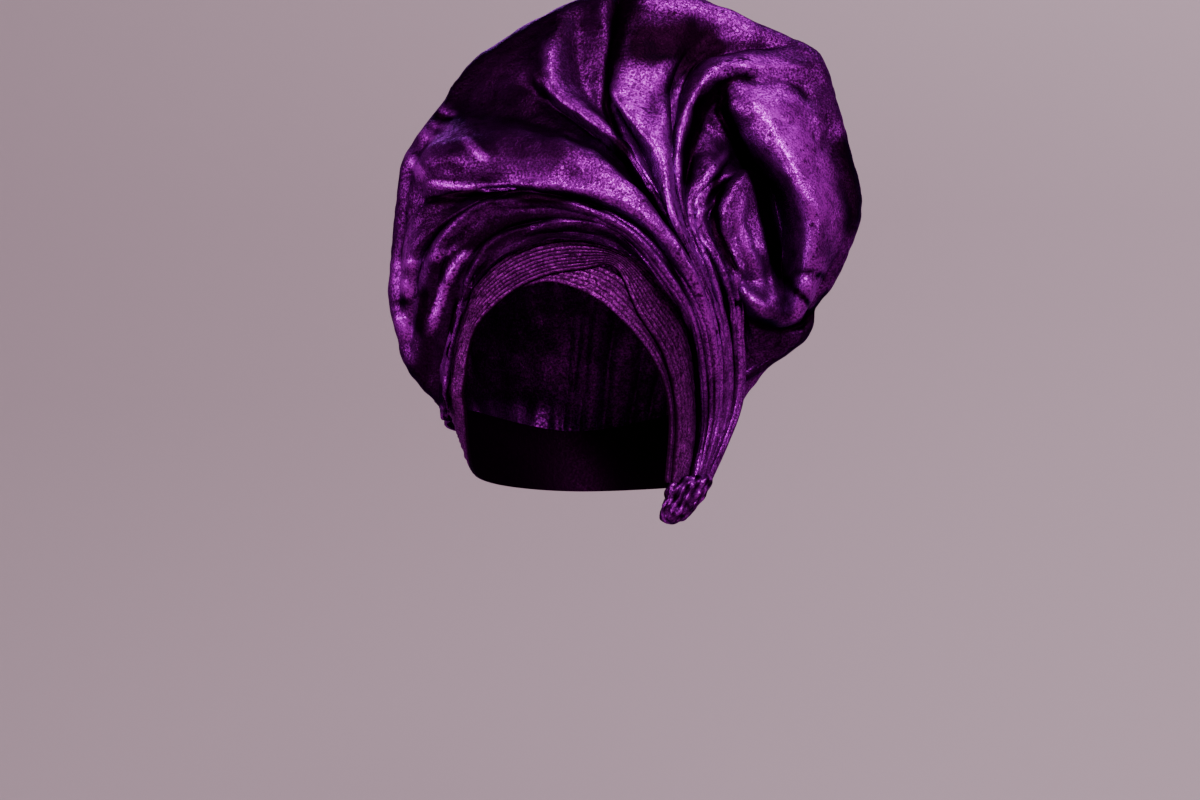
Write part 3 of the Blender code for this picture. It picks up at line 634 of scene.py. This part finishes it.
def fan_guides():
    """The crest of each fold as points at the stations, hem first."""
    ways = np.array([s.way for s in STATIONS])
    hem_ways = np.array([s.hem for s in STATIONS]) / (len(BAND) - 1)
    guides = [edge_points(BAND, HEM_SHARE, hem_ways, OVER_BAND)]
    stack = {row.place: row for row in STACK}
    for index, (fold, line) in enumerate(zip(FOLDS, LINES)):
        across = (index + 1) / len(FOLDS)
        points = []
        for number, station in enumerate(STATIONS):
            depth = np.interp(across, (0.0, 0.5, 1.0), (station.inner, station.middle, station.outer))
            y = -depth * FAN_SWELL - fold.lift * FOLD_DEPTH * station.fold
            if station.place in stack:
                row = stack[station.place]
                share = getattr(fold, station.place, across)
                start = guides[0][number]
                x = start[0] + share * (HEAD_WIDTH / 2.0 + row.reach * STACK_WIDTH - start[0])
                y = start[1] + (y - start[1]) * min(1.0, (index + 1) / STACK_RISE_FOLDS)
                z = start[2] + share * (row.height * HEAD_RISE - start[2])
            else:
                drawn = getattr(line, station.place)
                x = drawn[0] / DRAWN_WIDTH * FAN_WIDTH
                z = drawn[1] / DRAWN_HEIGHT * FAN_HEIGHT
            points.append((x, y, z))
        guides.append(np.array(points))
    return np.array(guides), ways


def along_x(values):
    """The values as points on the x axis."""
    return np.stack([values, 0.0 * values, 0.0 * values], axis=-1)


def rise(values, start, length):
    """0 up to the start, 1 from one length past it, and even between."""
    return np.clip((values - start) / length, 0.0, 1.0)


def eased(share):
    """A share from 0 to 1, made to start and end softly."""
    return share**2 * (3.0 - 2.0 * share)


def bump(t, middle, reach):
    """1 at the middle, falling smoothly to 0 at the reach."""
    return 1.0 - eased(rise(np.abs(t - middle), 0.0, reach))


def wave(turns):
    """A sine wave, counted in whole turns."""
    return np.sin(2.0 * np.pi * turns)


def ripple(points, size, seed, waves=18):
    """Smooth random relief between about -1 and 1, with features of the given size."""
    random = np.random.default_rng(seed)
    total = np.zeros(points.shape[:-1])
    for _ in range(waves):
        way = random.normal(size=3)
        way = way / np.linalg.norm(way) * 2.0 * np.pi / (size * random.uniform(0.7, 1.6))
        total += np.sin(points @ way + random.uniform(0.0, 2.0 * np.pi))
    return total / math.sqrt(waves)


def fan_surface(across, ways):
    """The front face of the fan: across counts folds from the hem, ways run from the ear to the rim."""
    guides, knots = fan_guides()
    lines = np.stack([catmull(guide, knots, ways) for guide in guides])
    places = np.arange(len(lines), dtype=float)
    smooth = catmull(lines, places, across)
    near_ear = 1.0 - rise(ways, *SIDEWAYS_FADE)
    side = np.clip(across / places[-1], 0.0, 1.0)[:, None] * near_ear[None, :]
    inward = unit(np.stack([-STACK_SLANT * side, 1.0 + 0.0 * side, 0.0 * side], axis=-1))
    hem = (0.0, HEM_VALLEY, 1.0, 0.0, 0.0)
    table = np.array([hem] + [(f.lift, f.valley, f.beyond, f.pocket, f.roll) for f in FOLDS])
    scale = catmull(np.array([s.fold for s in STATIONS])[:, None], knots, ways)[:, 0]
    index = np.clip(np.floor(across).astype(int), 0, len(table) - 2)
    part = across - index
    past = rise(ways, *BEYOND_FADE)[None, :]
    kept = 1.0 - (1.0 - table[index, 2])[:, None] * past
    wanted = FOLD_DEPTH * table[index, 1][:, None] * kept * scale[None, :]
    gap = np.linalg.norm(lines[index + 1] - lines[index], axis=-1)
    room = wanted * gap / np.sqrt(wanted**2 + gap**2 + 1e-12)
    depth = room * (1.0 - np.abs(np.cos(np.pi * part)))[:, None]
    pocket = np.interp(across, places, table[:, 3])
    roll = np.interp(across, places, table[:, 4])
    depth = depth + POCKET_DEPTH * pocket[:, None] * bump(ways, POCKET_WAY, POCKET_REACH)[None, :]
    swell = bump(ways, ROLL_FROM, ROLL_FROM - POCKET_WAY) * (ways < ROLL_FROM)
    swell = swell + (1.0 - ROLL_FALL * bump(ways, 1.0, 1.0 - ROLL_FROM)) * (ways >= ROLL_FROM)
    depth = depth - ROLL_HEIGHT * roll[:, None] * swell[None, :]
    return clear_of_head(smooth + inward * depth[..., None], OVER_BAND)


def rim_roll(front, angles, across):
    """Rows that carry the cloth over its rim: front is the grid up to the rim's silhouette."""
    edge = front[:, -1]
    along = unit(np.gradient(edge, axis=0))
    outward = unit(np.cross(along, np.array([0.0, -1.0, 0.0])))
    outward = outward * np.sign(np.sum(outward * (edge - edge.mean(axis=0)), axis=-1, keepdims=True))
    back = np.array([0.0, 1.0, 0.0])
    from_ends = np.minimum(across, across[-1] - across)
    size = RIM_END_SHARE + (1.0 - RIM_END_SHARE) * rise(from_ends, *RIM_END_FADE)
    radius = RIM_RADIUS * size[:, None]
    rows = []
    for angle in angles:
        out = np.sin(angle) - 1.0
        rows.append(edge + radius * (out * outward + (np.cos(angles[0]) - np.cos(angle)) * back))
    return np.stack(rows, axis=1)


def crease_shape(points, crease):
    """How much of a crease each point takes, from 0 to 1, as seen from the front."""
    x = points[..., 0] / PIXEL
    z = points[..., 2] / PIXEL
    line = np.array([(px - MIDDLE_PIXEL[0], MIDDLE_PIXEL[1] - py) for px, py in crease.points], float)
    lengths = np.linalg.norm(np.diff(line, axis=0), axis=1)
    starts = np.concatenate([[0.0], np.cumsum(lengths)])
    fade = min(CREASE_FADE, CREASE_END_SHARE * starts[-1])
    nearest = np.full(x.shape, np.inf)
    share = np.zeros(x.shape)
    for number, (start, end) in enumerate(zip(line[:-1], line[1:])):
        way = (end - start) / lengths[number]
        along = np.clip((x - start[0]) * way[0] + (z - start[1]) * way[1], 0.0, lengths[number])
        off_x = x - start[0] - along * way[0]
        off_z = z - start[1] - along * way[1]
        far = np.hypot(off_x, off_z)
        left = way[0] * off_z - way[1] * off_x > 0.0
        closer = far < nearest
        nearest = np.where(closer, far, nearest)
        run = starts[number] + along
        ends = rise(np.minimum(run, starts[-1] - run), 0.0, fade)
        here = bump(far, 0.0, np.where(left, crease.left, crease.right)) * ends
        share = np.where(closer, here, share)
    return share


def cloth_front(across, ways, angles):
    """The fan's outer face, from the ear to the last row of the rim roll, and its creases' painted light and
    shade.
    """
    front = fan_surface(across, ways)
    rolled = rim_roll(front, angles, across)
    inset = rolled[:, 0] - front[:, -1]
    ease = rise(ways, *RIM_EASE_FADE)[None, :, None] ** 2
    front = clear_of_head(front + inset[:, None, :] * ease, OVER_BAND)
    front = np.concatenate([front, rolled[:, 1:]], axis=1)
    facing = np.clip(-FACING_GAIN * normals_of(front)[..., 1], LEAST_FACING, 1.0)
    tone_and_painted_light = np.zeros(front.shape[:2])
    for crease in CREASES:
        share = crease_shape(front, crease)
        front[..., 1] -= CREASE_UNIT * crease.height * share * facing
        tone_and_painted_light += crease.pile * share
    return clear_of_head(front, OVER_BAND), tone_and_painted_light


def painted_strip_light(across, ways):
    """The painted light and shade at each point of the front."""
    columns = []
    for pile in PAINTED_STRIPS:
        knots = (*STACK_PAINTED_WAYS, *PAINTED_STRIP_WAYS, pile.turn, pile.turn + TURN_LENGTH)
        values = (*STACK_PAINTED_LIGHT, pile.near, pile.near, pile.half, pile.half, pile.rim)
        columns.append(np.interp(ways, knots, values))
    columns = np.array(columns[:1] + columns + columns[-1:])
    strip = np.clip(np.floor(across), 0, len(PAINTED_STRIPS) - 1).astype(int)
    part = eased(rise(across - strip, 0.0, STRIP_BLEND))[:, None]
    return columns[strip] + part * (columns[strip + 1] - columns[strip])


def shares_along(line):
    """How far along a line each of its points lies, from 0 to 1."""
    length = np.concatenate([[0.0], np.cumsum(np.linalg.norm(np.diff(line, axis=0), axis=1))])
    return length / length[-1]


def gathers(share, rows):
    """The gathered folds of the drape, 1 on a crest and 0 in a valley, evenly deep at the nape."""
    share = share[:, None]
    rows = rows[None, :]
    height, along, down = GATHER_WANDER
    wander = height * wave(down * rows + along * share) * (1.0 - rows)
    uneven = sum(height * wave(along * share) for height, along in GATHER_UNEVEN)
    crest = np.abs(np.sin(np.pi * (DRAPE_PLEATS * share + uneven + wander))) ** GATHER_ROUND
    most, along, down = GATHER_WEAK
    weak = 0.5 - 0.5 * np.cos(2.0 * np.pi * (along * share + down * rows))
    return 1.0 - (1.0 - crest) * (1.0 - most * weak * (1.0 - rows**2))


def drape_surface(front, rows):
    """The outer face of the drape, from the front's last row down to the nape, without that row."""
    start = front[:, -1]
    heading = unit(front[:, -1] - front[:, -2])
    share = shares_along(start)
    turn = DRAPE_FREE_TURN + share * (DRAPE_TIED_TURN - DRAPE_FREE_TURN)
    heights = (DRAPE_CORNER_HEIGHT, DRAPE_FREE_HEIGHT, DRAPE_NAPE_HEIGHT, DRAPE_TIED_HEIGHT)
    level = np.interp(share, (0.0, DRAPE_CORNER_SHARE, 0.5, 1.0), heights)
    end = round_head(turn, level * HEAD_RISE, OVER_BAND)
    reach = np.linalg.norm(end - start, axis=1, keepdims=True)
    out = unit(end * LEVEL)
    first = start + heading * DRAPE_BULGE * reach
    second = end + (np.array([0.0, 0.0, DRAPE_ABOVE]) + DRAPE_BEYOND * out) * reach
    t = rows[None, 1:, None]
    first = first[:, None, :]
    second = second[:, None, :]
    grid = (1 - t) ** 3 * start[:, None] + 3 * t * (1 - t) ** 2 * first
    grid = grid + 3 * t**2 * (1 - t) * second + t**3 * end[:, None]
    relief = DRAPE_GATHER_HEIGHT * gathers(share, rows[1:]) * (rows[1:] ** GATHER_GROWTH)[None, :]
    folds = ripple(along_x(DRAPE_RIM * share), DRAPE_FOLD_SIZE, 41)[:, None]
    relief = relief + DRAPE_FOLD_HEIGHT * folds * np.sin(np.pi * rows[1:])[None, :]
    relief = relief * rise(np.minimum(share, 1.0 - share), *DRAPE_END_FADE)[:, None]
    normal = normals_of(grid)
    side = np.sign(np.sum(normal * (grid - grid.mean(axis=(0, 1))), axis=-1, keepdims=True))
    return clear_of_head(grid + normal * side * relief[..., None], OVER_BAND)


def mesh_piece(name, points, faces):
    """A smooth-shaded mesh object."""
    mesh = bpy.data.meshes.new(name)
    mesh.from_pydata(points.tolist(), [], faces)
    mesh.update()
    mesh.shade_smooth()
    piece = bpy.data.objects.new(name, mesh)
    bpy.context.collection.objects.link(piece)
    return piece


def walled(name, outer, inner):
    """A closed wall between two matching grids of points."""
    rows, columns = outer.shape[:2]
    count = rows * columns
    at = np.arange(count).reshape(rows, columns)
    a, b, c, d = at[:-1, :-1], at[1:, :-1], at[1:, 1:], at[:-1, 1:]
    front = np.stack([a, b, c, d], axis=-1).reshape(-1, 4)
    back = np.stack([a, d, c, b], axis=-1).reshape(-1, 4) + count
    loop = np.concatenate([at[:-1, 0], at[-1, :-1], at[:0:-1, -1], at[0, :0:-1]])
    after = np.roll(loop, -1)
    rim = np.stack([after, loop, loop + count, after + count], axis=-1)
    points = np.concatenate([outer.reshape(-1, 3), inner.reshape(-1, 3)])
    piece = mesh_piece(name, points, np.concatenate([front, back, rim]).tolist())
    mesh = piece.data
    pairs = np.empty(len(mesh.edges) * 2, int)
    mesh.edges.foreach_get("vertices", pairs)
    pairs = np.sort(pairs.reshape(-1, 2), axis=1)
    border = np.sort(np.stack([loop, after], axis=-1), axis=1)
    border = np.concatenate([border, border + count])
    keys = pairs[:, 0] * 4 * count + pairs[:, 1]
    sharp = np.isin(keys, border[:, 0] * 4 * count + border[:, 1])
    layer = mesh.attributes.new("sharp_edge", "BOOLEAN", "EDGE")
    layer.data.foreach_set("value", sharp)
    return piece


def dress(piece, tone_and_painted_light, finish):
    """The piece's tone and painted light and shade at each point, its material, and the body it rides on."""
    layer = piece.data.attributes.new("tone_and_painted_light", "FLOAT", "POINT")
    layer.data.foreach_set("value", np.asarray(tone_and_painted_light, np.float32).ravel())
    piece.data.materials.append(finish)
    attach(piece, "root")


def velvet(name, dark, bright, metallic, roughness, grain):
    """Crushed metallic velvet: a glittering grain over patches where the pile lies another way, with painted
    light and shade.
    """
    material = bpy.data.materials.new(name)
    material.use_nodes = True
    nodes = material.node_tree.nodes
    links = material.node_tree.links
    skin = nodes["Principled BSDF"]
    place = nodes.new("ShaderNodeTexCoord")

    def noise(scale, detail, rough):
        """A noise in the object's own space, in metres."""
        node = nodes.new("ShaderNodeTexNoise")
        node.inputs["Scale"].default_value = scale
        node.inputs["Detail"].default_value = detail
        node.inputs["Roughness"].default_value = rough
        links.new(place.outputs["Object"], node.inputs["Vector"])
        return node

    def ramp(source, low, high):
        """A soft step from 0 at the low value to 1 at the high one."""
        node = nodes.new("ShaderNodeMapRange")
        node.interpolation_type = "SMOOTHSTEP"
        node.inputs["From Min"].default_value = low
        node.inputs["From Max"].default_value = high
        links.new(source, node.inputs["Value"])
        return node.outputs["Result"]

    def maths(operation, one, two):
        """A sum or product of two numbers or outputs."""
        node = nodes.new("ShaderNodeMath")
        node.operation = operation
        for socket, value in zip(node.inputs, (one, two)):
            if isinstance(value, (int, float)):
                socket.default_value = value
            else:
                links.new(value, socket)
        return node.outputs["Value"]

    speck = noise(scale=720.0, detail=2.0, rough=0.7)
    crush = noise(scale=85.0, detail=5.0, rough=0.6)
    crush.inputs["Distortion"].default_value = 0.6
    flecks = noise(scale=210.0, detail=3.0, rough=0.65)
    places = noise(scale=22.0, detail=2.0, rough=0.5)
    tone_and_painted_light = nodes.new("ShaderNodeAttribute")
    tone_and_painted_light.attribute_name = "tone_and_painted_light"
    # How bright the pile is without crush or glitter, how much each adds, and what the bare flecks take away
    least_crush, crush_share = 0.55, 0.75
    least_glitter, glitter_share = 0.35, 1.25
    fleck_loss = 0.8
    glitter = ramp(speck.outputs["Fac"], low=0.40, high=0.64)
    lift = maths("MULTIPLY", ramp(crush.outputs["Fac"], low=0.30, high=0.70), crush_share)
    # The mesh's tone and painted light and shade set how far the colour goes from dark to bright
    lift = maths("MULTIPLY", ramp(tone_and_painted_light.outputs["Fac"], low=0.0, high=1.15), maths("ADD", lift, least_crush))
    few = ramp(flecks.outputs["Fac"], low=0.56, high=0.64)
    bare = maths("MULTIPLY", few, ramp(places.outputs["Fac"], low=0.48, high=0.60))
    lift = maths("MULTIPLY", lift, maths("SUBTRACT", 1.0, maths("MULTIPLY", bare, fleck_loss)))
    shine = maths("ADD", maths("MULTIPLY", glitter, glitter_share), least_glitter)
    lift = maths("MULTIPLY", lift, shine)
    # This node finds its two colour sockets and its colour result by number alone
    dark_socket, bright_socket, colour_result = 6, 7, 2
    mix = nodes.new("ShaderNodeMix")
    mix.data_type = "RGBA"
    mix.clamp_factor = True
    mix.inputs[dark_socket].default_value = (*dark, 1.0)
    mix.inputs[bright_socket].default_value = (*bright, 1.0)
    links.new(lift, mix.inputs[0])
    links.new(mix.outputs[colour_result], skin.inputs["Base Color"])
    skin.inputs["Metallic"].default_value = metallic
    skin.inputs["Specular IOR Level"].default_value = 0.10
    skin.inputs["Specular Tint"].default_value = (0.40, 0.03, 0.50, 1.0)
    # The glitter is smoother than the pile round it
    rough = nodes.new("ShaderNodeMapRange")
    rough.inputs["To Min"].default_value = roughness + 0.16
    rough.inputs["To Max"].default_value = roughness - 0.10
    links.new(glitter, rough.inputs["Value"])
    links.new(rough.outputs["Result"], skin.inputs["Roughness"])
    speck_share = 0.5
    coarse = noise(scale=420.0, detail=3.0, rough=0.6)
    height = maths("ADD", maths("MULTIPLY", speck.outputs["Fac"], speck_share), coarse.outputs["Fac"])
    relief = nodes.new("ShaderNodeBump")
    relief.inputs["Strength"].default_value = grain
    relief.inputs["Distance"].default_value = 0.0009
    links.new(height, relief.inputs["Height"])
    links.new(relief.outputs["Normal"], skin.inputs["Normal"])
    return material


def plain(name, colour, roughness):
    """A material of one colour."""
    material = bpy.data.materials.new(name)
    material.use_nodes = True
    skin = material.node_tree.nodes["Principled BSDF"]
    skin.inputs["Base Color"].default_value = (*colour, 1.0)
    skin.inputs["Roughness"].default_value = roughness
    return material


def crumples(points, ways):
    """Large and small random crumples of the cloth, weaker near the ear."""
    total = sum(height * ripple(points, size, seed) for height, size, seed in CRUMPLES)
    return total * np.maximum(rise(ways, *CRUMPLE_FADE), CRUMPLE_LEAST)


def cloth_tone_and_painted_light(across, ways, rows, crease_painted_light, gathered):
    """The painted light and shade of the fan and the drape's gathers, over the drape's own tone, without the
    pleats of the stack.
    """
    columns = crease_painted_light.shape[1]
    last = columns - 1
    tone_and_painted_light = painted_strip_light(across, ways)
    tone_and_painted_light[:, :columns] += crease_painted_light
    # Painted shade dims the rim
    rim_shade = np.where(across[:, None] > RIM_PAINTED_SHADE_FOLD, RIM_PAINTED_SHADE_MOST, RIM_PAINTED_SHADE)
    tone_and_painted_light[:, :columns] *= 1.0 - rim_shade * rise(ways[:columns], *RIM_PAINTED_SHADE_FADE)[None, :]
    # Painted light on the drape's gathers and painted shade between them, over the drape's own tone
    drape = DRAPE_PILE + DRAPE_GATHER_PAINTED_LIGHT * (gathered - GATHER_MEAN) * rows[None, :]
    past_rim = rise(rows, *DRAPE_PILE_FADE)[None, :]
    edge = tone_and_painted_light[:, last:columns]
    tone_and_painted_light[:, last:] = edge + past_rim * (drape - edge)
    return tone_and_painted_light


def make_cloth(finish):
    """The fan and the drape, one cloth parted just behind the rim."""
    folds = len(FOLDS)
    across = np.linspace(0.0, folds, folds * FAN_STEPS_A_FOLD + 1)
    fan_ways = np.linspace(0.0, 1.0, FAN_ROWS)
    angles = np.radians(np.linspace(RIM_START, RIM_TURN, RIM_ROWS))
    rows = np.linspace(0.0, 1.0, DRAPE_ROWS)
    front, crease_painted_light = cloth_front(across, fan_ways, angles)
    inner = np.concatenate([front, drape_surface(front, rows)], axis=1)
    ways = np.concatenate([fan_ways, np.ones(inner.shape[1] - FAN_ROWS)])
    side = (across / folds)[:, None]
    near_end = (1.0 - rise(ways, *STACK_END_FADE))[None, :] ** 2
    inner[..., 0] -= STACK_END_IN * near_end * side
    inner[..., 2] -= STACK_END_DOWN * near_end * side
    stack = 1.0 - rise(ways, *STACK_PLEATS_FADE)[None, :]
    pleat = np.abs(np.cos(np.pi * STACK_PLEATS * side)) ** STACK_PLEAT_ROUND
    hug = CLOTH_WALL * (1.0 - rise(across, *HUG_FADE))[:, None]
    shift = crumples(inner, ways) - hug - STACK_PLEAT_DEPTH * (1.0 - pleat) * stack
    inner = inner + soft_normals(inner, NORMAL_PASSES) * shift[..., None]
    inner = clear_of_head(inner, OVER_BAND - CLOTH_WALL)
    outer = inner + CLOTH_WALL * soft_normals(inner, NORMAL_PASSES)
    tone_and_painted_light = cloth_tone_and_painted_light(across, ways, rows, crease_painted_light, gathers(shares_along(front[:, -1]), rows))
    # Painted highlights on the stack's pleat crests and painted shade in their valleys
    tone_and_painted_light += STACK_PLEAT_PAINTED_LIGHT * (pleat**2 - STACK_PLEAT_MEAN) * stack
    last = front.shape[1] - 1
    for name, part in (("pleated_fan_cloth", slice(last + 1)), ("back_drape_cloth", slice(last, None))):
        piece = walled(name, outer[:, part], inner[:, part])
        values = tone_and_painted_light[:, part].ravel()
        dress(piece, np.concatenate([values, np.full(values.size, LINING_PILE)]), finish)
    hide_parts("pleated_fan")
    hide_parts("back_drape")


def wrap_piece(wrap, finish):
    """A finely pleated wrap: knife pleats that run along it, a little uneven, with small crinkles."""
    ways = np.linspace(0.0, 1.0, wrap.columns)
    shares = np.linspace(0.0, 1.0, wrap.steps)
    near_ear = 1.0 - rise(ways, *BAND_UNDER_FADE)
    wider = 1.0 + wrap.beyond * near_ear
    coarser = 1.0 - BAND_COARSER * np.sign(wrap.beyond) * near_ear

    def face(stand_off):
        """The wrap's smooth face at this distance from the head."""
        rows = [edge_points(wrap.rows, share * wider, ways, stand_off) for share in shares]
        return np.stack(rows, axis=1)

    base = face(wrap.stand_off + wrap.wall)
    drift = PLEAT_DRIFT * ripple(along_x(ways), PLEAT_DRIFT_SIZE, wrap.seed)
    phase = shares[None, :] * wider[:, None] + drift[:, None] * np.sin(np.pi * shares)[None, :]
    phase = wrap.pleats * coarser[:, None] * phase
    part = phase - np.floor(phase)
    rising = rise(part, 0.0, PLEAT_RISE) ** PLEAT_RISE_ROUND
    profile = rising * rise(1.0 - part, 0.0, PLEAT_FALL) ** PLEAT_FALL_ROUND
    crinkle = 1.0 + PLEAT_CRINKLE * ripple(base, PLEAT_CRINKLE_SIZE, wrap.seed + 1)
    outer = base + unit(base * LEVEL) * (wrap.height * profile * crinkle)[..., None]
    piece = walled(wrap.name, outer, face(wrap.stand_off))
    # Painted light on the rise of each knife pleat and painted shade in its valley
    values = (VALLEY_PAINTED_SHADE + PLEAT_PAINTED_LIGHT * profile).ravel()
    dress(piece, np.concatenate([values, np.zeros(values.size)]), finish)
    return piece


def make_wraps(finish):
    """The forehead band and the under wrap."""
    band = wrap_piece(BAND_WRAP, finish)
    under = wrap_piece(UNDER_WRAP, finish)
    for piece, node in ((band, "forehead_band"), (under, "under_wrap")):
        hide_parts(node)


def make_tuck(finish):
    """The gathered end, a crinkled puff just under the ends of the pleats."""
    turns = np.linspace(0.0, 2.0 * np.pi, TUCK_COLUMNS, endpoint=False)[:, None]
    level = np.linspace(0.0, 1.0, TUCK_ROWS)[None, :]
    top = np.array([*TUCK_TOP, TIE_HEIGHT * HEAD_RISE + TUCK_UP])
    foot = np.array([TUCK_LEAN, 0.0, -TUCK_LENGTH - TUCK_UP])
    spread = (1.00 - TUCK_NARROWER * level**TUCK_TAPER) * (1.0 - level**TUCK_ROUND_POWER) ** 0.5
    spread = spread * (1.0 - TUCK_TOP_ROUND * (1.0 - level) ** TUCK_TOP_POWER)
    valley = 1.0 - np.abs(np.cos(TUCK_PLEATS * turns + TUCK_TWIST * level))
    left = TUCK_END_SHARE + (1.0 - TUCK_END_SHARE) * np.sin(np.pi * level)
    girth = spread * (1.0 - TUCK_PLEAT_SHARE * valley * left)
    x = TUCK_WIDTH / 2.0 * girth * np.cos(turns)
    y = TUCK_DEEPER * TUCK_DEPTH / 2.0 * girth * np.sin(turns)
    ring = np.stack([x, y, 0.0 * x], axis=-1) + top + level[..., None] * foot
    crinkle = TUCK_CRINKLE * ripple(ring, TUCK_CRINKLE_SIZE, 21)
    ring = ring + crinkle[..., None] * unit(ring - ring.mean(axis=(0, 1)))
    first = ring[..., 0].size
    final = first + 1
    at = np.arange(first).reshape(TUCK_COLUMNS, TUCK_ROWS)
    after = np.roll(at, -1, axis=0)
    sides = np.stack([at[:, :-1], after[:, :-1], after[:, 1:], at[:, 1:]], axis=-1)
    faces = sides.reshape(-1, 4).tolist()
    faces += [[start, end, first] for start, end in zip(after[:, 0].tolist(), at[:, 0].tolist())]
    faces += [[start, end, final] for start, end in zip(at[:, -1].tolist(), after[:, -1].tolist())]
    ends = np.stack([ring[:, 0].mean(axis=0), ring[:, -1].mean(axis=0)])
    points = np.concatenate([ring.reshape(-1, 3), ends])
    piece = mesh_piece("tucked_end_cloth", points, faces)
    dress(piece, TUCK_PILE + TUCK_PILE_SWING * ripple(points, TUCK_PILE_SIZE, 31), finish)
    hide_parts("tucked_end")


def make_camera():
    """Level with the temples, as the photograph was taken, with the photograph's width in view."""
    lens = bpy.data.cameras.new("camera")
    camera = bpy.data.objects.new("camera", lens)
    bpy.context.collection.objects.link(camera)
    x, y, z = CAMERA_AIM
    lens.sensor_width = SENSOR_WIDTH
    lens.lens = lens.sensor_width * CAMERA_DISTANCE / (PHOTO_WIDTH * PIXEL)
    camera.location = (x, y - CAMERA_DISTANCE, z)
    camera.rotation_euler = (math.radians(90.0), 0.0, 0.0)
    bpy.context.scene.camera = camera


def make_stage():
    """A plain pale floor that curves up all round into the backdrop."""
    flat = STAGE_RADIUS - STAGE_BEND
    profile = [(0.0, FLOOR_HEIGHT), (flat, FLOOR_HEIGHT)]
    for step in range(1, BEND_STEPS + 1):
        angle = math.pi / 2 * step / BEND_STEPS
        height = FLOOR_HEIGHT + STAGE_BEND * (1 - math.cos(angle))
        profile.append((flat + STAGE_BEND * math.sin(angle), height))
    profile.append((STAGE_RADIUS, STAGE_TOP))
    turns = np.linspace(0.0, 2.0 * np.pi, STAGE_COLUMNS, endpoint=False)
    points = np.array([(r * math.cos(t), r * math.sin(t), z) for r, z in profile for t in turns])
    at = np.arange(len(points)).reshape(len(profile), STAGE_COLUMNS)
    after = np.roll(at, -1, axis=1)
    faces = np.stack([at[:-1], after[:-1], after[1:], at[1:]], axis=-1).reshape(-1, 4)
    sweep = mesh_piece("sweep", points, faces[STAGE_COLUMNS:].tolist())
    disc = mesh_piece("floor", points[STAGE_COLUMNS : 2 * STAGE_COLUMNS], [list(range(STAGE_COLUMNS))])
    paper = plain("sweep paper", (0.37, 0.265, 0.315), 0.95)
    sweep.data.materials.append(paper)
    disc.data.materials.append(paper)


def make_lights():
    """The soft lights, and a faint violet light from all round."""
    for light in LIGHTS:
        lamp = bpy.data.lights.new(light.name, "AREA")
        lamp.shape = "RECTANGLE"
        lamp.size, lamp.size_y = light.size
        lamp.energy = light.power
        stand = bpy.data.objects.new(light.name, lamp)
        stand.location = light.place
        heading = Vector(light.aim) - Vector(light.place)
        stand.rotation_euler = heading.to_track_quat("-Z", "Y").to_euler()
        bpy.context.collection.objects.link(stand)
    world = bpy.data.worlds.new("world")
    world.use_nodes = True
    world.node_tree.nodes["Background"].inputs["Color"].default_value = WORLD_COLOUR
    world.node_tree.nodes["Background"].inputs["Strength"].default_value = WORLD_STRENGTH
    bpy.context.scene.world = world


def main():
    """The camera, the head tie, the stage and the lights."""
    make_camera()
    shiny = velvet(
        "crushed velvet", dark=(0.006, 0.0002, 0.005), bright=(0.42, 0.005, 0.52), metallic=0.95,
        roughness=0.40, grain=0.55,
    )
    matte = velvet(
        "pleated velvet", dark=(0.009, 0.0003, 0.008), bright=(0.17, 0.005, 0.18), metallic=0.85,
        roughness=0.55, grain=0.5,
    )
    make_cloth(shiny)
    make_wraps(matte)
    make_tuck(shiny)
    make_stage()
    make_lights()


main()
